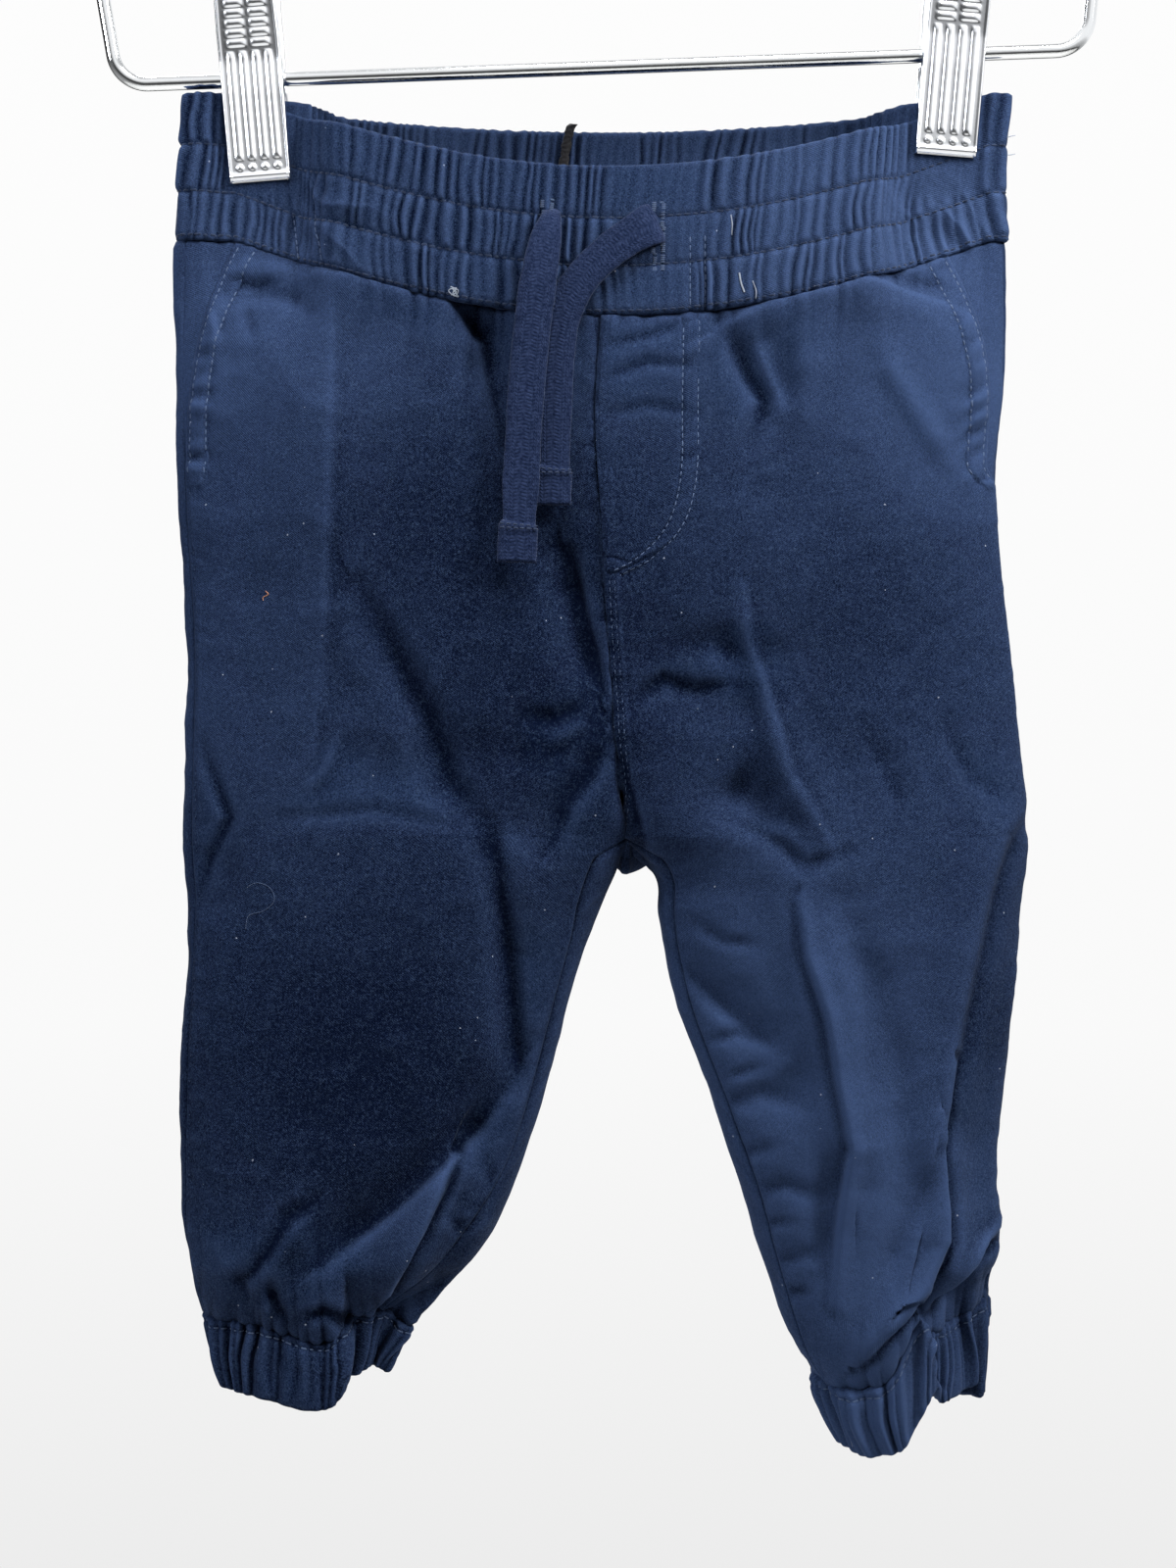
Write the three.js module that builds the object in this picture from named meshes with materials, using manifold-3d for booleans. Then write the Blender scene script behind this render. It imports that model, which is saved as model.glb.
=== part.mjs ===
// Chino joggers for a small child, clipped by the waistband to a wire hanger.
// Millimetres. +X is the viewer's right, +Y is away from the viewer, +Z is up.
// The origin is the top of the hook's inside, where a rod carries the hanger.

import * as THREE from 'three';
import { mergeVertices } from 'three/addons/utils/BufferGeometryUtils.js';
import Module from 'manifold-3d';

const wasm = await Module();
wasm.setup();

// ---------------------------------------------------------------- driving dimensions

const WALL = 1.2;            // thickness of the cloth
const SEAM_GAP = 0.3;        // space between two pieces at a seam
const CLEARANCE = 0.35;      // space between a piece and what lies on it

const WAIST_TOP = -157;      // top of the waistband at the side seams
const BAND_HEIGHT = 38.6;    // waistband, three channels of elastic
const BAND_OUTER = { left: [-101.8, -103.2, -104.4], right: [110.6, 109.2, 110] };
const BAND_GATHERS = 58;     // gathers across the front, and as many across the back
const BAND_ROWS = [0, 0.36, 0.68, 1];   // top edge, two rows of stitching, waist seam
const WAIST_MID = 8;         // x where the top edge hangs lowest
const FRONT_DIP = 21.5;      // the front hangs this far below the side seams
const BACK_DIP = 6;
const DIP_REACH = 98;        // half the width over which it hangs

const CLIP_X = { left: -83, right: 94.4 };     // middle of each clip's jaw
const CLIP_WIDTH = 16;
const CLIP_GRIP = 1.15;      // from the middle plane to the gripped cloth's own middle
const CLIP_LEAN = THREE.MathUtils.degToRad(4.6);
const PINCH = { jaw: -184, beside: 13, below: 46 };   // how far a clip's grip reaches

const CROTCH = 0.55;         // the crotch, as a share of the way from waist to cuff
const LEG_FROM = 0.28;       // from here down the body divides into two legs
const TUCK_FROM = 0.58;      // share of the way round from which the back tucks under
const PANEL_COLUMNS = 14;
const PANEL_ROWS = 25;

const HANGER_TILT = THREE.MathUtils.degToRad(-2.1);
const WIRE = 3.6;            // diameter of the hanger's wire
const BAR_DROP = 150;        // from the rod to the bar that carries the clips
const BAR_HALF = 126;        // half the width of the hanger at its bar

// ---------------------------------------------------------------- tables

// Gives a function that follows a table smoothly along its first column.
function follow(columns, rows) {
  const at = rows.map((row) => row[0]);
  const slope = (i, c) => {
    const a = Math.max(i - 1, 0);
    const b = Math.min(i + 1, rows.length - 1);
    return (rows[b][c] - rows[a][c]) / (at[b] - at[a]);
  };
  return (t) => {
    let i = 0;
    while (i < at.length - 2 && t > at[i + 1]) i += 1;
    const span = at[i + 1] - at[i];
    const k = THREE.MathUtils.clamp((t - at[i]) / span, 0, 1);
    const row = {};
    columns.forEach((name, c) => {
      const [p, q] = [rows[i][c], rows[i + 1][c]];
      const [m, n] = [slope(i, c) * span, slope(i + 1, c) * span];
      const [k2, k3] = [k * k, k * k * k];
      row[name] = (2 * k3 - 3 * k2 + 1) * p + (k3 - 2 * k2 + k) * m
        + (3 * k2 - 2 * k3) * q + (k3 - k2) * n;
    });
    return row;
  };
}

// The side fold of each leg. down runs from 0 at the waist seam to 1 at the cuff.
const OUTER = {
  left: follow(['down', 'x', 'z'], [
    [0.00, -104.4, -195.6],
    [0.12, -105.0, -230],
    [0.25, -104.0, -266],
    [0.38, -102.0, -302],
    [0.55, -102.6, -350],
    [0.62, -101.6, -369],
    [0.78, -103.2, -413],
    [0.90, -102.6, -447],
    [0.96, -100.2, -465],
    [1.00, -97.6, -475],
  ]),
  right: follow(['down', 'x', 'z'], [
    [0.00, 110.0, -195.6],
    [0.12, 109.8, -230],
    [0.22, 107.2, -258],
    [0.38, 110.8, -302],
    [0.53, 115.0, -344],
    [0.64, 113.2, -374],
    [0.78, 109.6, -413],
    [0.87, 107.2, -438],
    [0.92, 108.4, -453],
    [0.97, 105.4, -468],
    [1.00, 105.6, -477],
  ]),
};

// The centre seams, front and back, from the waist seam to the crotch.
const CENTRE = {
  front: follow(['down', 'x', 'y', 'z'], [
    [0.00, 5.0, -13.0, -217.1],
    [0.12, 3.6, -14.0, -243],
    [0.25, 5.4, -15.0, -273],
    [0.38, 7.2, -15.0, -305],
    [0.48, 9.6, -12.5, -332],
    [0.52, 10.8, -9.5, -342],
    [0.55, 11.5, -5.0, -349.5],
  ]),
  back: follow(['down', 'x', 'y', 'z'], [
    [0.00, -4.0, 15.0, -201.6],
    [0.12, -3.0, 17.0, -233],
    [0.25, 0.5, 18.0, -268],
    [0.38, 5.0, 17.5, -303],
    [0.45, 8.2, 15.8, -329],
    [0.48, 9.6, 13.8, -340],
    [0.50, 10.6, 10.2, -348.5],
    [0.52, 11.3, 4.6, -353.6],
    [0.535, 11.5, -0.4, -353],
    [0.55, 11.5, -5.0, -349.5],
  ]),
};

// The inner fold of each leg, from the crotch to the cuff.
const INNER = {
  left: follow(['down', 'x', 'y', 'z'], [
    [0.55, 11.5, -5.0, -349.5],
    [0.565, 9.6, -3.8, -354.2],
    [0.59, 6.8, -1.2, -361.4],
    [0.62, 3.2, 0.5, -370],
    [0.70, -4.0, 1.0, -391.5],
    [0.78, -10.1, 1.0, -413.5],
    [0.86, -16.4, 1.0, -436],
    [0.92, -24.4, 1.5, -453],
    [0.97, -36.4, 3.0, -468],
    [1.00, -45.0, 4.0, -477.5],
  ]),
  right: follow(['down', 'x', 'y', 'z'], [
    [0.55, 11.5, -5.0, -349.5],
    [0.565, 16.0, -2.0, -355],
    [0.59, 20.6, 0.0, -361],
    [0.62, 21.4, 0.0, -370],
    [0.70, 25.8, 0.0, -392],
    [0.78, 34.0, 0.0, -415],
    [0.86, 42.2, 0.0, -440],
    [0.92, 47.6, 0.0, -459],
    [0.97, 54.2, 0.0, -477],
    [1.00, 60.8, 0.0, -487],
  ]),
};

// How far the cloth stands out before and behind, how much lower it hangs there,
// and how far round the front the side seam and the inner leg seam lie.
const FULLNESS = {
  left: follow(['down', 'front', 'back', 'frontZ', 'backZ', 'side', 'inseam'], [
    [0.00, 13, 15, 0, 0, 2.2, 0],
    [0.30, 16, 18, 0, 0, 2.4, 0],
    [0.55, 17, 17, 0, 0, 2.6, 0],
    [0.57, 17, 17, 0, 0, 2.6, 6],
    [0.65, 17, 17, 0, 0, 2.4, 3.6],
    [0.78, 17, 18, 0, 0, 2.0, 2.6],
    [0.86, 18, 18, 0, 0, 1.6, 4],
    [0.93, 18, 17, -1, 0, 1.2, 8],
    [0.97, 15, 14, -2, 0, 1.0, 8],
    [1.00, 10, 9, -2.5, 0, 1.0, 7],
  ]),
  right: follow(['down', 'front', 'back', 'frontZ', 'backZ', 'side', 'inseam'], [
    [0.00, 13, 15, 0, 0, 0, 0],
    [0.30, 16, 18, 0, 0, 0, 0],
    [0.55, 18, 17, 0, 0, 0, 0],
    [0.57, 18, 17, 0, 0, 0, 3],
    [0.65, 18, 17, 0, 0, 0, 2.4],
    [0.78, 18, 18, 0, 0, 0, 2.8],
    [0.86, 18, 18, 0, 0, 0, 3.6],
    [0.93, 18, 17, -2, 1, 0, 3.4],
    [0.97, 17, 15, -4, 2, 0, 3],
    [1.00, 13, 11, -6, 3, 0, 2.6],
  ]),
};

// The cuffs' lower edges: both folds, fullness, and how much lower the front hangs.
const CUFF_HEM = {
  left: { outer: [-92.6, 0, -491], inner: [-51, 3, -489], front: 11, back: 9,
    frontZ: -6, backZ: 0 },
  right: { outer: [104.4, 0, -497], inner: [68, 0, -504], front: 12, back: 11,
    frontZ: -5, backZ: 1 },
};
const CUFF_GATHERS = 24;
const CUFF_ROWS = [0, 0.5, 1];
const CUFF_SEAM_GAP = 0.5;   // the leg tucks under sharply above the cuff
const GATHER = { band: 0.75, cuff: 0.9 };   // half the height of a gather

// The pocket mouth, as a distance from the side fold, down the first part of the panel.
const POCKET_END = 0.215;
const pocketMouth = follow(['down', 'from'], [
  [0.000, 15],
  [0.036, 11],
  [0.075, 7.5],
  [0.120, 4.8],
  [0.170, 3.2],
  [0.215, 2.6],
]);

// Main folds, each along a path seen from the front: how far the crest stands out (a
// hollow is negative), its width on the left and the right of the path as it goes,
// and the hollow beside the crest on its right.
const FOLD_COLUMNS = ['path', 'rise', 'left', 'right', 'hollow'];
const FOLDS = {
  front: [
    [[[-17, -409], [-32, -428], [-51, -445], [-68, -459]], -4, 8, 11, 0],
    [[[-34, -433], [-42, -450], [-48, -466], [-59, -480], [-61, -488], [-65, -499]],
      2, 9, 14, -5],
    [[[-70, -445], [-80, -455], [-90, -468]], 2.5, 6, 6, 0],
    [[[-12, -372], [-18, -388], [-17, -410]], -2.5, 7, 8, 0],
    [[[-66, -208], [-66, -250], [-68, -290]], 2.2, 12, 14, 0],
    [[[-29, -212], [-25, -222], [-22, -236]], -3.5, 7, 6, 0],
    [[[-9, -266], [-6, -290], [2, -312]], -3, 9, 8, 0],
    [[[-4, -352], [-30, -338], [-58, -330]], -2.4, 8, 9, 0],
    [[[-92, -352], [-97, -372]], -2, 6, 6, 0],
    [[[41, -218], [47, -230], [52, -242]], -3, 8, 8, 0],
    [[[27, -300], [43, -304], [60, -303]], -1.6, 6, 6, 0],
    [[[14, -312], [34, -318], [54, -316]], -2, 7, 6, 0],
    [[[46, -306], [50, -328], [62, -352]], 3, 7, 8, 0],
    [[[35, -336], [53, -342]], -3, 8, 8, 0],
    [[[57, -366], [63, -390], [70, -424], [70, -438]], 4, 9, 8, -2],
    [[[32, -386], [42, -398], [52, -408]], -3, 8, 8, 0],
    [[[39, -420], [52, -414], [63, -410]], -2.4, 7, 7, 0],
    [[[87, -444], [92, -424], [98, -388], [106, -357], [115, -342]], 2, 9, 10, -4],
    [[[92, -433], [95, -455], [89, -469], [86, -477], [89, -487], [93, -500]],
      1.6, 8, 12, -4],
  ],
  back: [
    [[[-40, -228], [-44, -262], [-50, -300]], 3, 12, 12, 0],
    [[[54, -222], [50, -255], [56, -292]], 2.6, 11, 13, 0],
    [[[0, -262], [-20, -300], [-46, -330]], -3, 10, 10, 0],
    [[[14, -300], [36, -326], [62, -342]], -3, 9, 10, 0],
    [[[4, -336], [-22, -346], [-56, -346]], -2.6, 8, 8, 0],
    [[[-30, -366], [-42, -398], [-46, -430]], 3.6, 9, 9, -2],
    [[[-74, -352], [-84, -384], [-80, -420]], -3, 9, 9, 0],
    [[[-26, -424], [-50, -444], [-76, -454]], -3.4, 8, 10, 0],
    [[[-52, -454], [-62, -468], [-72, -476]], 2.6, 7, 7, 0],
    [[[40, -362], [58, -374], [84, -376]], -2.6, 8, 8, 0],
    [[[84, -384], [80, -414], [86, -440]], 3.6, 9, 9, -2],
    [[[50, -404], [60, -428], [58, -452]], -3, 8, 8, 0],
    [[[64, -446], [78, -460], [96, -466]], -3, 8, 8, 0],
  ],
};

// ---------------------------------------------------------------- the draped surface

const mix = (a, b, k) => a + (b - a) * k;
const smooth = (k) => THREE.MathUtils.smoothstep(k, 0, 1);
const mixPoint = (p, q, k) => p.map((value, i) => mix(value, q[i], k));

const waistDip = (face, x) => {
  const reach = (x - WAIST_MID) / DIP_REACH;
  const dip = face === 'front' ? FRONT_DIP : BACK_DIP;
  return dip * Math.max(0, 1 - reach * reach) ** 1.1;
};

const waistSeam = (face, x) => WAIST_TOP - BAND_HEIGHT - waistDip(face, x);

// 1 where a clip grips the cloth, fading to 0 beside it and below it.
function clipPinch(x, z) {
  const beside = Math.min(Math.abs(x - CLIP_X.left), Math.abs(x - CLIP_X.right));
  const across = 1 - smooth((beside - CLIP_WIDTH / 2 - 1) / PINCH.beside);
  const below = 1 - smooth((PINCH.jaw - z) / PINCH.below);
  return across * below;
}

function pinchDepth(x, y, z) {
  if (Math.abs(y) <= CLIP_GRIP) return y;
  return Math.sign(y) * mix(Math.abs(y), CLIP_GRIP, clipPinch(x, z));
}

// A fold's rise at a point, from its distance to the fold's path.
function foldRise(fold, x, z) {
  let best = { gap: Infinity };
  const count = fold.path.length - 1;
  for (let i = 0; i < count; i += 1) {
    const [[ax, az], [bx, bz]] = [fold.path[i], fold.path[i + 1]];
    const [dx, dz] = [bx - ax, bz - az];
    const share = ((x - ax) * dx + (z - az) * dz) / (dx * dx + dz * dz);
    const k = THREE.MathUtils.clamp(share, 0, 1);
    const [ox, oz] = [x - ax - k * dx, z - az - k * dz];
    const gap = Math.hypot(ox, oz);
    const side = Math.sign(dx * oz - dz * ox);
    if (gap < best.gap) best = { gap, side, along: (i + k) / count };
  }
  const width = best.side > 0 ? fold.left : fold.right;
  const taper = Math.min(1, 0.35 + 2.6 * Math.min(best.along, 1 - best.along));
  let rise = fold.rise * Math.exp(-((best.gap / width) ** 2));
  if (best.side < 0) rise += fold.hollow * Math.exp(-((best.gap / width - 1.15) ** 2) * 2.2);
  return rise * taper;
}

const namedFolds = Object.fromEntries(Object.entries(FOLDS).map(([face, rows]) => [
  face,
  rows.map((row) => Object.fromEntries(FOLD_COLUMNS.map((name, i) => [name, row[i]]))),
]));

const foldsAt = (face, x, z) => namedFolds[face]
  .reduce((sum, fold) => sum + foldRise(fold, x, z), 0);

// The fold that runs down the inside of one half: a centre seam, then the inner leg.
const innerEdge = (half, face, down) => (down <= CROTCH
  ? CENTRE[face](down)
  : INNER[half](down));

// One cross-section of a half garment. around runs from 0 at the side fold to 1 at the
// centre seam or inner leg fold. In the body it is a flat oval's quarter, and in a leg
// the half of a closed oval. The back tucks down under the crotch beside the seam only:
// level is the height of its inner edge without that tuck.
function sectionPoint(shape, face, around, leg) {
  const out = face === 'front' ? -1 : 1;
  const full = face === 'front' ? shape.front : shape.back;
  const lobe = face === 'front' ? shape.frontZ : shape.backZ;
  const bodyAcross = 1 - Math.cos(around * Math.PI / 2);
  const legAcross = (1 - Math.cos(around * Math.PI)) / 2;
  const rise = (1 - (1 - bodyAcross) ** 2.4) ** (1 / 2.4);
  const [ox, oy, oz] = shape.outer;
  const [ix, iy, iz] = shape.inner;
  const dome = Math.max(0, Math.sin(around * Math.PI)) ** 0.8;
  const held = Math.max(0, iy * out) / full;
  const legDepth = out * full * dome * (1 - 0.7 * legAcross * held);
  const body = [mix(ox, ix, bodyAcross), mix(oy, iy, rise), mix(oz, iz, bodyAcross)];
  const tuck = (iz - shape.level) * smooth((around - TUCK_FROM) / (1 - TUCK_FROM));
  const tube = [
    mix(ox, ix, legAcross),
    mix(oy, iy, legAcross ** 2) + legDepth,
    mix(oz, shape.level, legAcross) + tuck + lobe * dome,
  ];
  return mixPoint(body, tube, leg);
}

function drapedPoint(half, face, around, down) {
  const outer = OUTER[half](down);
  const inner = innerEdge(half, face, down);
  const shape = {
    ...FULLNESS[half](down),
    outer: [outer.x, 0, outer.z],
    inner: [inner.x, inner.y, inner.z],
    level: down < CROTCH ? CENTRE.front(down).z : inner.z,
  };
  const leg = smooth((down - LEG_FROM) / (CROTCH - LEG_FROM)) ** 1.5;
  const [x, y, z] = sectionPoint(shape, face, around, leg);
  const start = sectionPoint({
    ...shape,
    outer: [outer.x, 0, OUTER[half](0).z],
    inner: [inner.x, inner.y, CENTRE[face](0).z],
    level: CENTRE[face](0).z,
  }, face, around, leg);
  const hang = (waistSeam(face, x) - start[2]) * (1 - smooth(down / 0.35));
  return [x, pinchDepth(x, y, z + hang), z + hang];
}

// How squarely a point faces forward or back, 0 on the folds at either side.
function facing(around, down) {
  const leg = smooth((down - LEG_FROM) / (CROTCH - LEG_FROM));
  const body = Math.sin(around * Math.PI / 2);
  return mix(body, Math.sin(around * Math.PI), leg) ** 0.6;
}

function foldedPoint(half, face, around, down) {
  const [x, y, z] = drapedPoint(half, face, around, down);
  const out = face === 'front' ? -1 : 1;
  const quiet = 1 - clipPinch(x, z);
  return [x, y + out * foldsAt(face, x, z) * facing(around, down) * quiet, z];
}

// The share of the way round at which the cloth lies a given distance from a fold.
function aroundAt(half, face, down, distance, fromInner) {
  const steps = 80;
  const place = (share) => (fromInner ? 1 - share : share);
  const [edgeX] = drapedPoint(half, face, place(0), down);
  let before = 0;
  for (let i = 1; i <= steps; i += 1) {
    const [x] = drapedPoint(half, face, place(i / steps), down);
    const gap = Math.abs(x - edgeX);
    const part = (distance - before) / (gap - before || 1);
    if (gap >= distance) return place((i - 1 + part) / steps);
    before = gap;
  }
  return place(1);
}

// Spreads a route of points evenly along its length.
function spread(route, count) {
  const lengths = [0];
  for (let i = 1; i < route.length; i += 1) {
    const step = Math.hypot(...route[i].map((value, c) => value - route[i - 1][c]));
    lengths.push(lengths[i - 1] + step);
  }
  const total = lengths.at(-1);
  const result = [];
  let i = 0;
  for (let n = 0; n <= count; n += 1) {
    const goal = (n / count) * total;
    while (i < lengths.length - 2 && lengths[i + 1] < goal) i += 1;
    const k = (goal - lengths[i]) / (lengths[i + 1] - lengths[i] || 1);
    result.push(mixPoint(route[i], route[i + 1], THREE.MathUtils.clamp(k, 0, 1)));
  }
  return result;
}

// ---------------------------------------------------------------- walls

const vec = (p) => new THREE.Vector3(...p);

// The direction out of the cloth at each point of some grids that share their seams.
function sharedNormals(grids) {
  const sums = new Map();
  const key = (p) => p.map((value) => Math.round(value * 1e4)).join();
  for (const grid of grids) {
    for (let r = 0; r < grid.length - 1; r += 1) {
      for (let c = 0; c < grid[r].length - 1; c += 1) {
        const corners = [grid[r][c], grid[r + 1][c], grid[r + 1][c + 1], grid[r][c + 1]];
        const [a, b, d, e] = corners.map(vec);
        const normal = d.clone().sub(a).cross(e.clone().sub(b)).multiplyScalar(grid.turn);
        for (const corner of corners) {
          const sum = sums.get(key(corner)) ?? new THREE.Vector3();
          sums.set(key(corner), sum.add(normal));
        }
      }
    }
  }
  return grids.map((grid) => grid.map((row) => row.map((p) => {
    const normal = sums.get(key(p)).clone().normalize();
    return normal.toArray();
  })));
}

// Draws the edges of a grid in from its seams.
function drawIn(grid, normals, edges, by = SEAM_GAP / 2) {
  const rows = grid.length;
  const columns = grid[0].length;
  return grid.map((row, r) => row.map((p, c) => {
    const point = vec(p);
    const normal = vec(normals[r][c]);
    const move = (toward, before, after) => {
      const along = vec(after).sub(vec(before)).normalize();
      const step = vec(toward).sub(vec(p));
      step.addScaledVector(normal, -step.dot(normal));
      step.addScaledVector(along, -step.dot(along));
      point.addScaledVector(step.normalize(), by);
    };
    const up = grid[Math.max(r - 1, 0)][c];
    const down = grid[Math.min(r + 1, rows - 1)][c];
    const west = row[Math.max(c - 1, 0)];
    const east = row[Math.min(c + 1, columns - 1)];
    if (edges.first && c === 0) move(row[1], up, down);
    if (edges.last && c === columns - 1) move(row[columns - 2], up, down);
    if (edges.top && r === 0) move(grid[1][c], west, east);
    if (edges.bottom && r === rows - 1) move(grid[rows - 2][c], west, east);
    return point.toArray();
  }));
}

// A closed wall of cloth through a grid of points. A closed grid joins its last column
// to its first.
function wall(grid, normals, { turn = 1, closed = false, thick = WALL, lift = 0 } = {}) {
  const rows = grid.length;
  const columns = grid[0].length;
  const vertices = [];
  for (const side of [0.5, -0.5]) {
    grid.forEach((row, r) => row.forEach((p, c) => {
      const offset = lift + side * thick;
      vertices.push(...p.map((value, i) => value + normals[r][c][i] * offset));
    }));
  }
  const outer = (r, c) => r * columns + (c % columns);
  const inner = (r, c) => rows * columns + outer(r, c);
  const faces = [];
  const quad = (a, b, d, e) => {
    if (turn > 0) faces.push(a, b, d, a, d, e);
    else faces.push(a, d, b, a, e, d);
  };
  const last = closed ? columns : columns - 1;
  for (let c = 0; c < last; c += 1) {
    for (let r = 0; r < rows - 1; r += 1) {
      quad(outer(r, c), outer(r + 1, c), outer(r + 1, c + 1), outer(r, c + 1));
      quad(inner(r, c), inner(r, c + 1), inner(r + 1, c + 1), inner(r + 1, c));
    }
    quad(outer(0, c), outer(0, c + 1), inner(0, c + 1), inner(0, c));
    quad(outer(rows - 1, c), inner(rows - 1, c), inner(rows - 1, c + 1), outer(rows - 1, c + 1));
  }
  if (!closed) {
    for (let r = 0; r < rows - 1; r += 1) {
      quad(outer(r, 0), inner(r, 0), inner(r + 1, 0), outer(r + 1, 0));
      quad(outer(r, last), outer(r + 1, last), inner(r + 1, last), inner(r, last));
    }
  }
  const geometry = new THREE.BufferGeometry();
  geometry.setAttribute('position', new THREE.Float32BufferAttribute(vertices, 3));
  geometry.setIndex(faces);
  return geometry;
}

// ---------------------------------------------------------------- leg panels

// Rows run closer together near the crotch, where the cloth turns under.
function panelRows(count) {
  const upper = Math.round(count * 0.56);
  const rows = [];
  for (let r = 0; r <= upper; r += 1) {
    const k = r / upper;
    rows.push(CROTCH * mix(k, 1 - (1 - k) ** 1.6, 0.75));
  }
  const lower = count - upper;
  for (let r = 1; r <= lower; r += 1) {
    const k = r / lower;
    rows.push(CROTCH + (1 - CROTCH) * mix(k, k ** 1.5, 0.5));
  }
  return rows;
}

const routeAlong = (half, face, from, to, steps, down) => {
  const route = [];
  for (let i = 0; i <= steps; i += 1) {
    route.push(foldedPoint(half, face, mix(from, to, i / steps), down));
  }
  return route;
};

function frontRow(half, down) {
  const side = FULLNESS[half](down).side;
  const from = down < POCKET_END ? Math.max(pocketMouth(down).from, side) : side;
  const inseam = FULLNESS[half](down).inseam;
  const start = aroundAt(half, 'front', down, from, false);
  const end = down > CROTCH ? aroundAt(half, 'front', down, inseam, true) : 1;
  return spread(routeAlong(half, 'front', start, end, 60, down), PANEL_COLUMNS);
}

function backRow(half, down) {
  const { side, inseam } = FULLNESS[half](down);
  const start = aroundAt(half, 'front', down, side, false);
  const route = side > 0 ? routeAlong(half, 'front', start, 0, 8, down) : [];
  route.push(...routeAlong(half, 'back', 0, 1, 60, down).slice(route.length ? 1 : 0));
  if (down > CROTCH) {
    const end = aroundAt(half, 'front', down, inseam, true);
    route.push(...routeAlong(half, 'front', 1, end, 10, down).slice(1));
  }
  return spread(route, PANEL_COLUMNS);
}

function panelGrid(half, face) {
  const makeRow = face === 'front' ? frontRow : backRow;
  const grid = panelRows(PANEL_ROWS).map((down) => makeRow(half, down));
  grid.turn = (half === 'left') === (face === 'front') ? 1 : -1;
  return grid;
}

// ---------------------------------------------------------------- materials

const twill = (colour) => new THREE.MeshStandardMaterial({
  color: colour,
  roughness: 0.92,
  metalness: 0,
  side: THREE.FrontSide,
});
const CLOTH = twill(0x1f2a44);
const CLOTH_BACK = twill(0x1b253c);
const BAND = twill(0x24304c);
const TAPE = twill(0x1a2236);
const BLACK_TAPE = twill(0x101114);
const CHROME = new THREE.MeshStandardMaterial({ color: 0xc9cdd2, roughness: 0.16, metalness: 1 });

const garment = new THREE.Group();
const hanger = new THREE.Group();
hanger.rotation.y = HANGER_TILT;
const joggers = new THREE.Group();
joggers.add(garment, hanger);

function addPiece(group, name, geometry, material) {
  const mesh = new THREE.Mesh(geometry, material);
  mesh.name = name;
  group.add(mesh);
  return mesh;
}

function buildPanels() {
  const names = [['left', 'front'], ['right', 'front'], ['left', 'back'], ['right', 'back']];
  const grids = names.map(([half, face]) => panelGrid(half, face));
  const normals = sharedNormals(grids);
  names.forEach(([half, face], i) => {
    const edges = { first: true, last: true, top: true, bottom: true };
    const drawn = drawIn(grids[i], normals[i], edges);
    const material = face === 'front' ? CLOTH : CLOTH_BACK;
    const geometry = wall(drawn, normals[i], { turn: grids[i].turn });
    addPiece(garment, `${face}_${half}`, geometry, material);
  });
}

// ---------------------------------------------------------------- fly and pockets

// The mock fly's curved edge, as its distance from the centre front.
const flyEdge = follow(['down', 'from'], [
  [0.000, 26.5],
  [0.100, 27.5],
  [0.170, 27],
  [0.225, 24],
  [0.256, 19.5],
  [0.279, 13],
  [0.291, 7],
  [0.297, 4],
]);
const FLY_ROWS = 11;
const FLY_COLUMNS = 5;
const FLY_THICK = 1;

function buildFly() {
  const grid = [];
  for (let r = 0; r <= FLY_ROWS; r += 1) {
    const down = mix(0.006, 0.297, Math.sin((r / FLY_ROWS) * Math.PI / 2));
    const width = flyEdge(down).from;
    const row = [];
    for (let c = 0; c <= FLY_COLUMNS; c += 1) {
      const distance = mix(0.8, width, c / FLY_COLUMNS);
      const around = aroundAt('right', 'front', down, distance, true);
      row.push(foldedPoint('right', 'front', around, down));
    }
    grid.push(row);
  }
  grid.turn = 1;
  const [normals] = sharedNormals([grid]);
  const lift = WALL / 2 + FLY_THICK / 2 + CLEARANCE + 0.3;
  addPiece(garment, 'mock_fly', wall(grid, normals, { thick: FLY_THICK, lift }), CLOTH);
}

const FACING_ROWS = 7;
const FACING_COLUMNS = 4;
const FACING_TUCK = 6;       // how far the facing reaches behind the front panel
const FACING_THICK = 1;

function buildPocketFacing(half) {
  const grid = [];
  for (let r = 0; r <= FACING_ROWS; r += 1) {
    const down = mix(0.003, POCKET_END - 0.02, r / FACING_ROWS);
    const side = FULLNESS[half](down).side + 1.4;
    const inner = pocketMouth(down).from + FACING_TUCK;
    const row = [];
    for (let c = 0; c <= FACING_COLUMNS; c += 1) {
      const distance = mix(side, inner, c / FACING_COLUMNS);
      const around = aroundAt(half, 'front', down, distance, false);
      row.push(foldedPoint(half, 'front', around, down));
    }
    grid.push(row);
  }
  grid.turn = half === 'left' ? 1 : -1;
  const [normals] = sharedNormals([grid]);
  const lift = -(WALL / 2 + FACING_THICK / 2 + CLEARANCE + 0.25);
  const options = { turn: grid.turn, thick: FACING_THICK, lift };
  addPiece(garment, `pocket_facing_${half}`, wall(grid, normals, options), CLOTH_BACK);
}

// ---------------------------------------------------------------- waistband

const BAND_DEPTH = { front: [0.86, 1], back: [0.9, 1] };   // share of the seam's depth
const BAND_ROW_GATHER = [0.6, 1, 1, 0.8];
const FLAT_FRONT = { middle: 19, half: 11, fade: 8 };   // where it is hardly gathered
const FLAT_SHARE = 0.35;     // what is left of the gathers there
const GRIPPED_SHARE = 0.15;  // and under a clip

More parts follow.
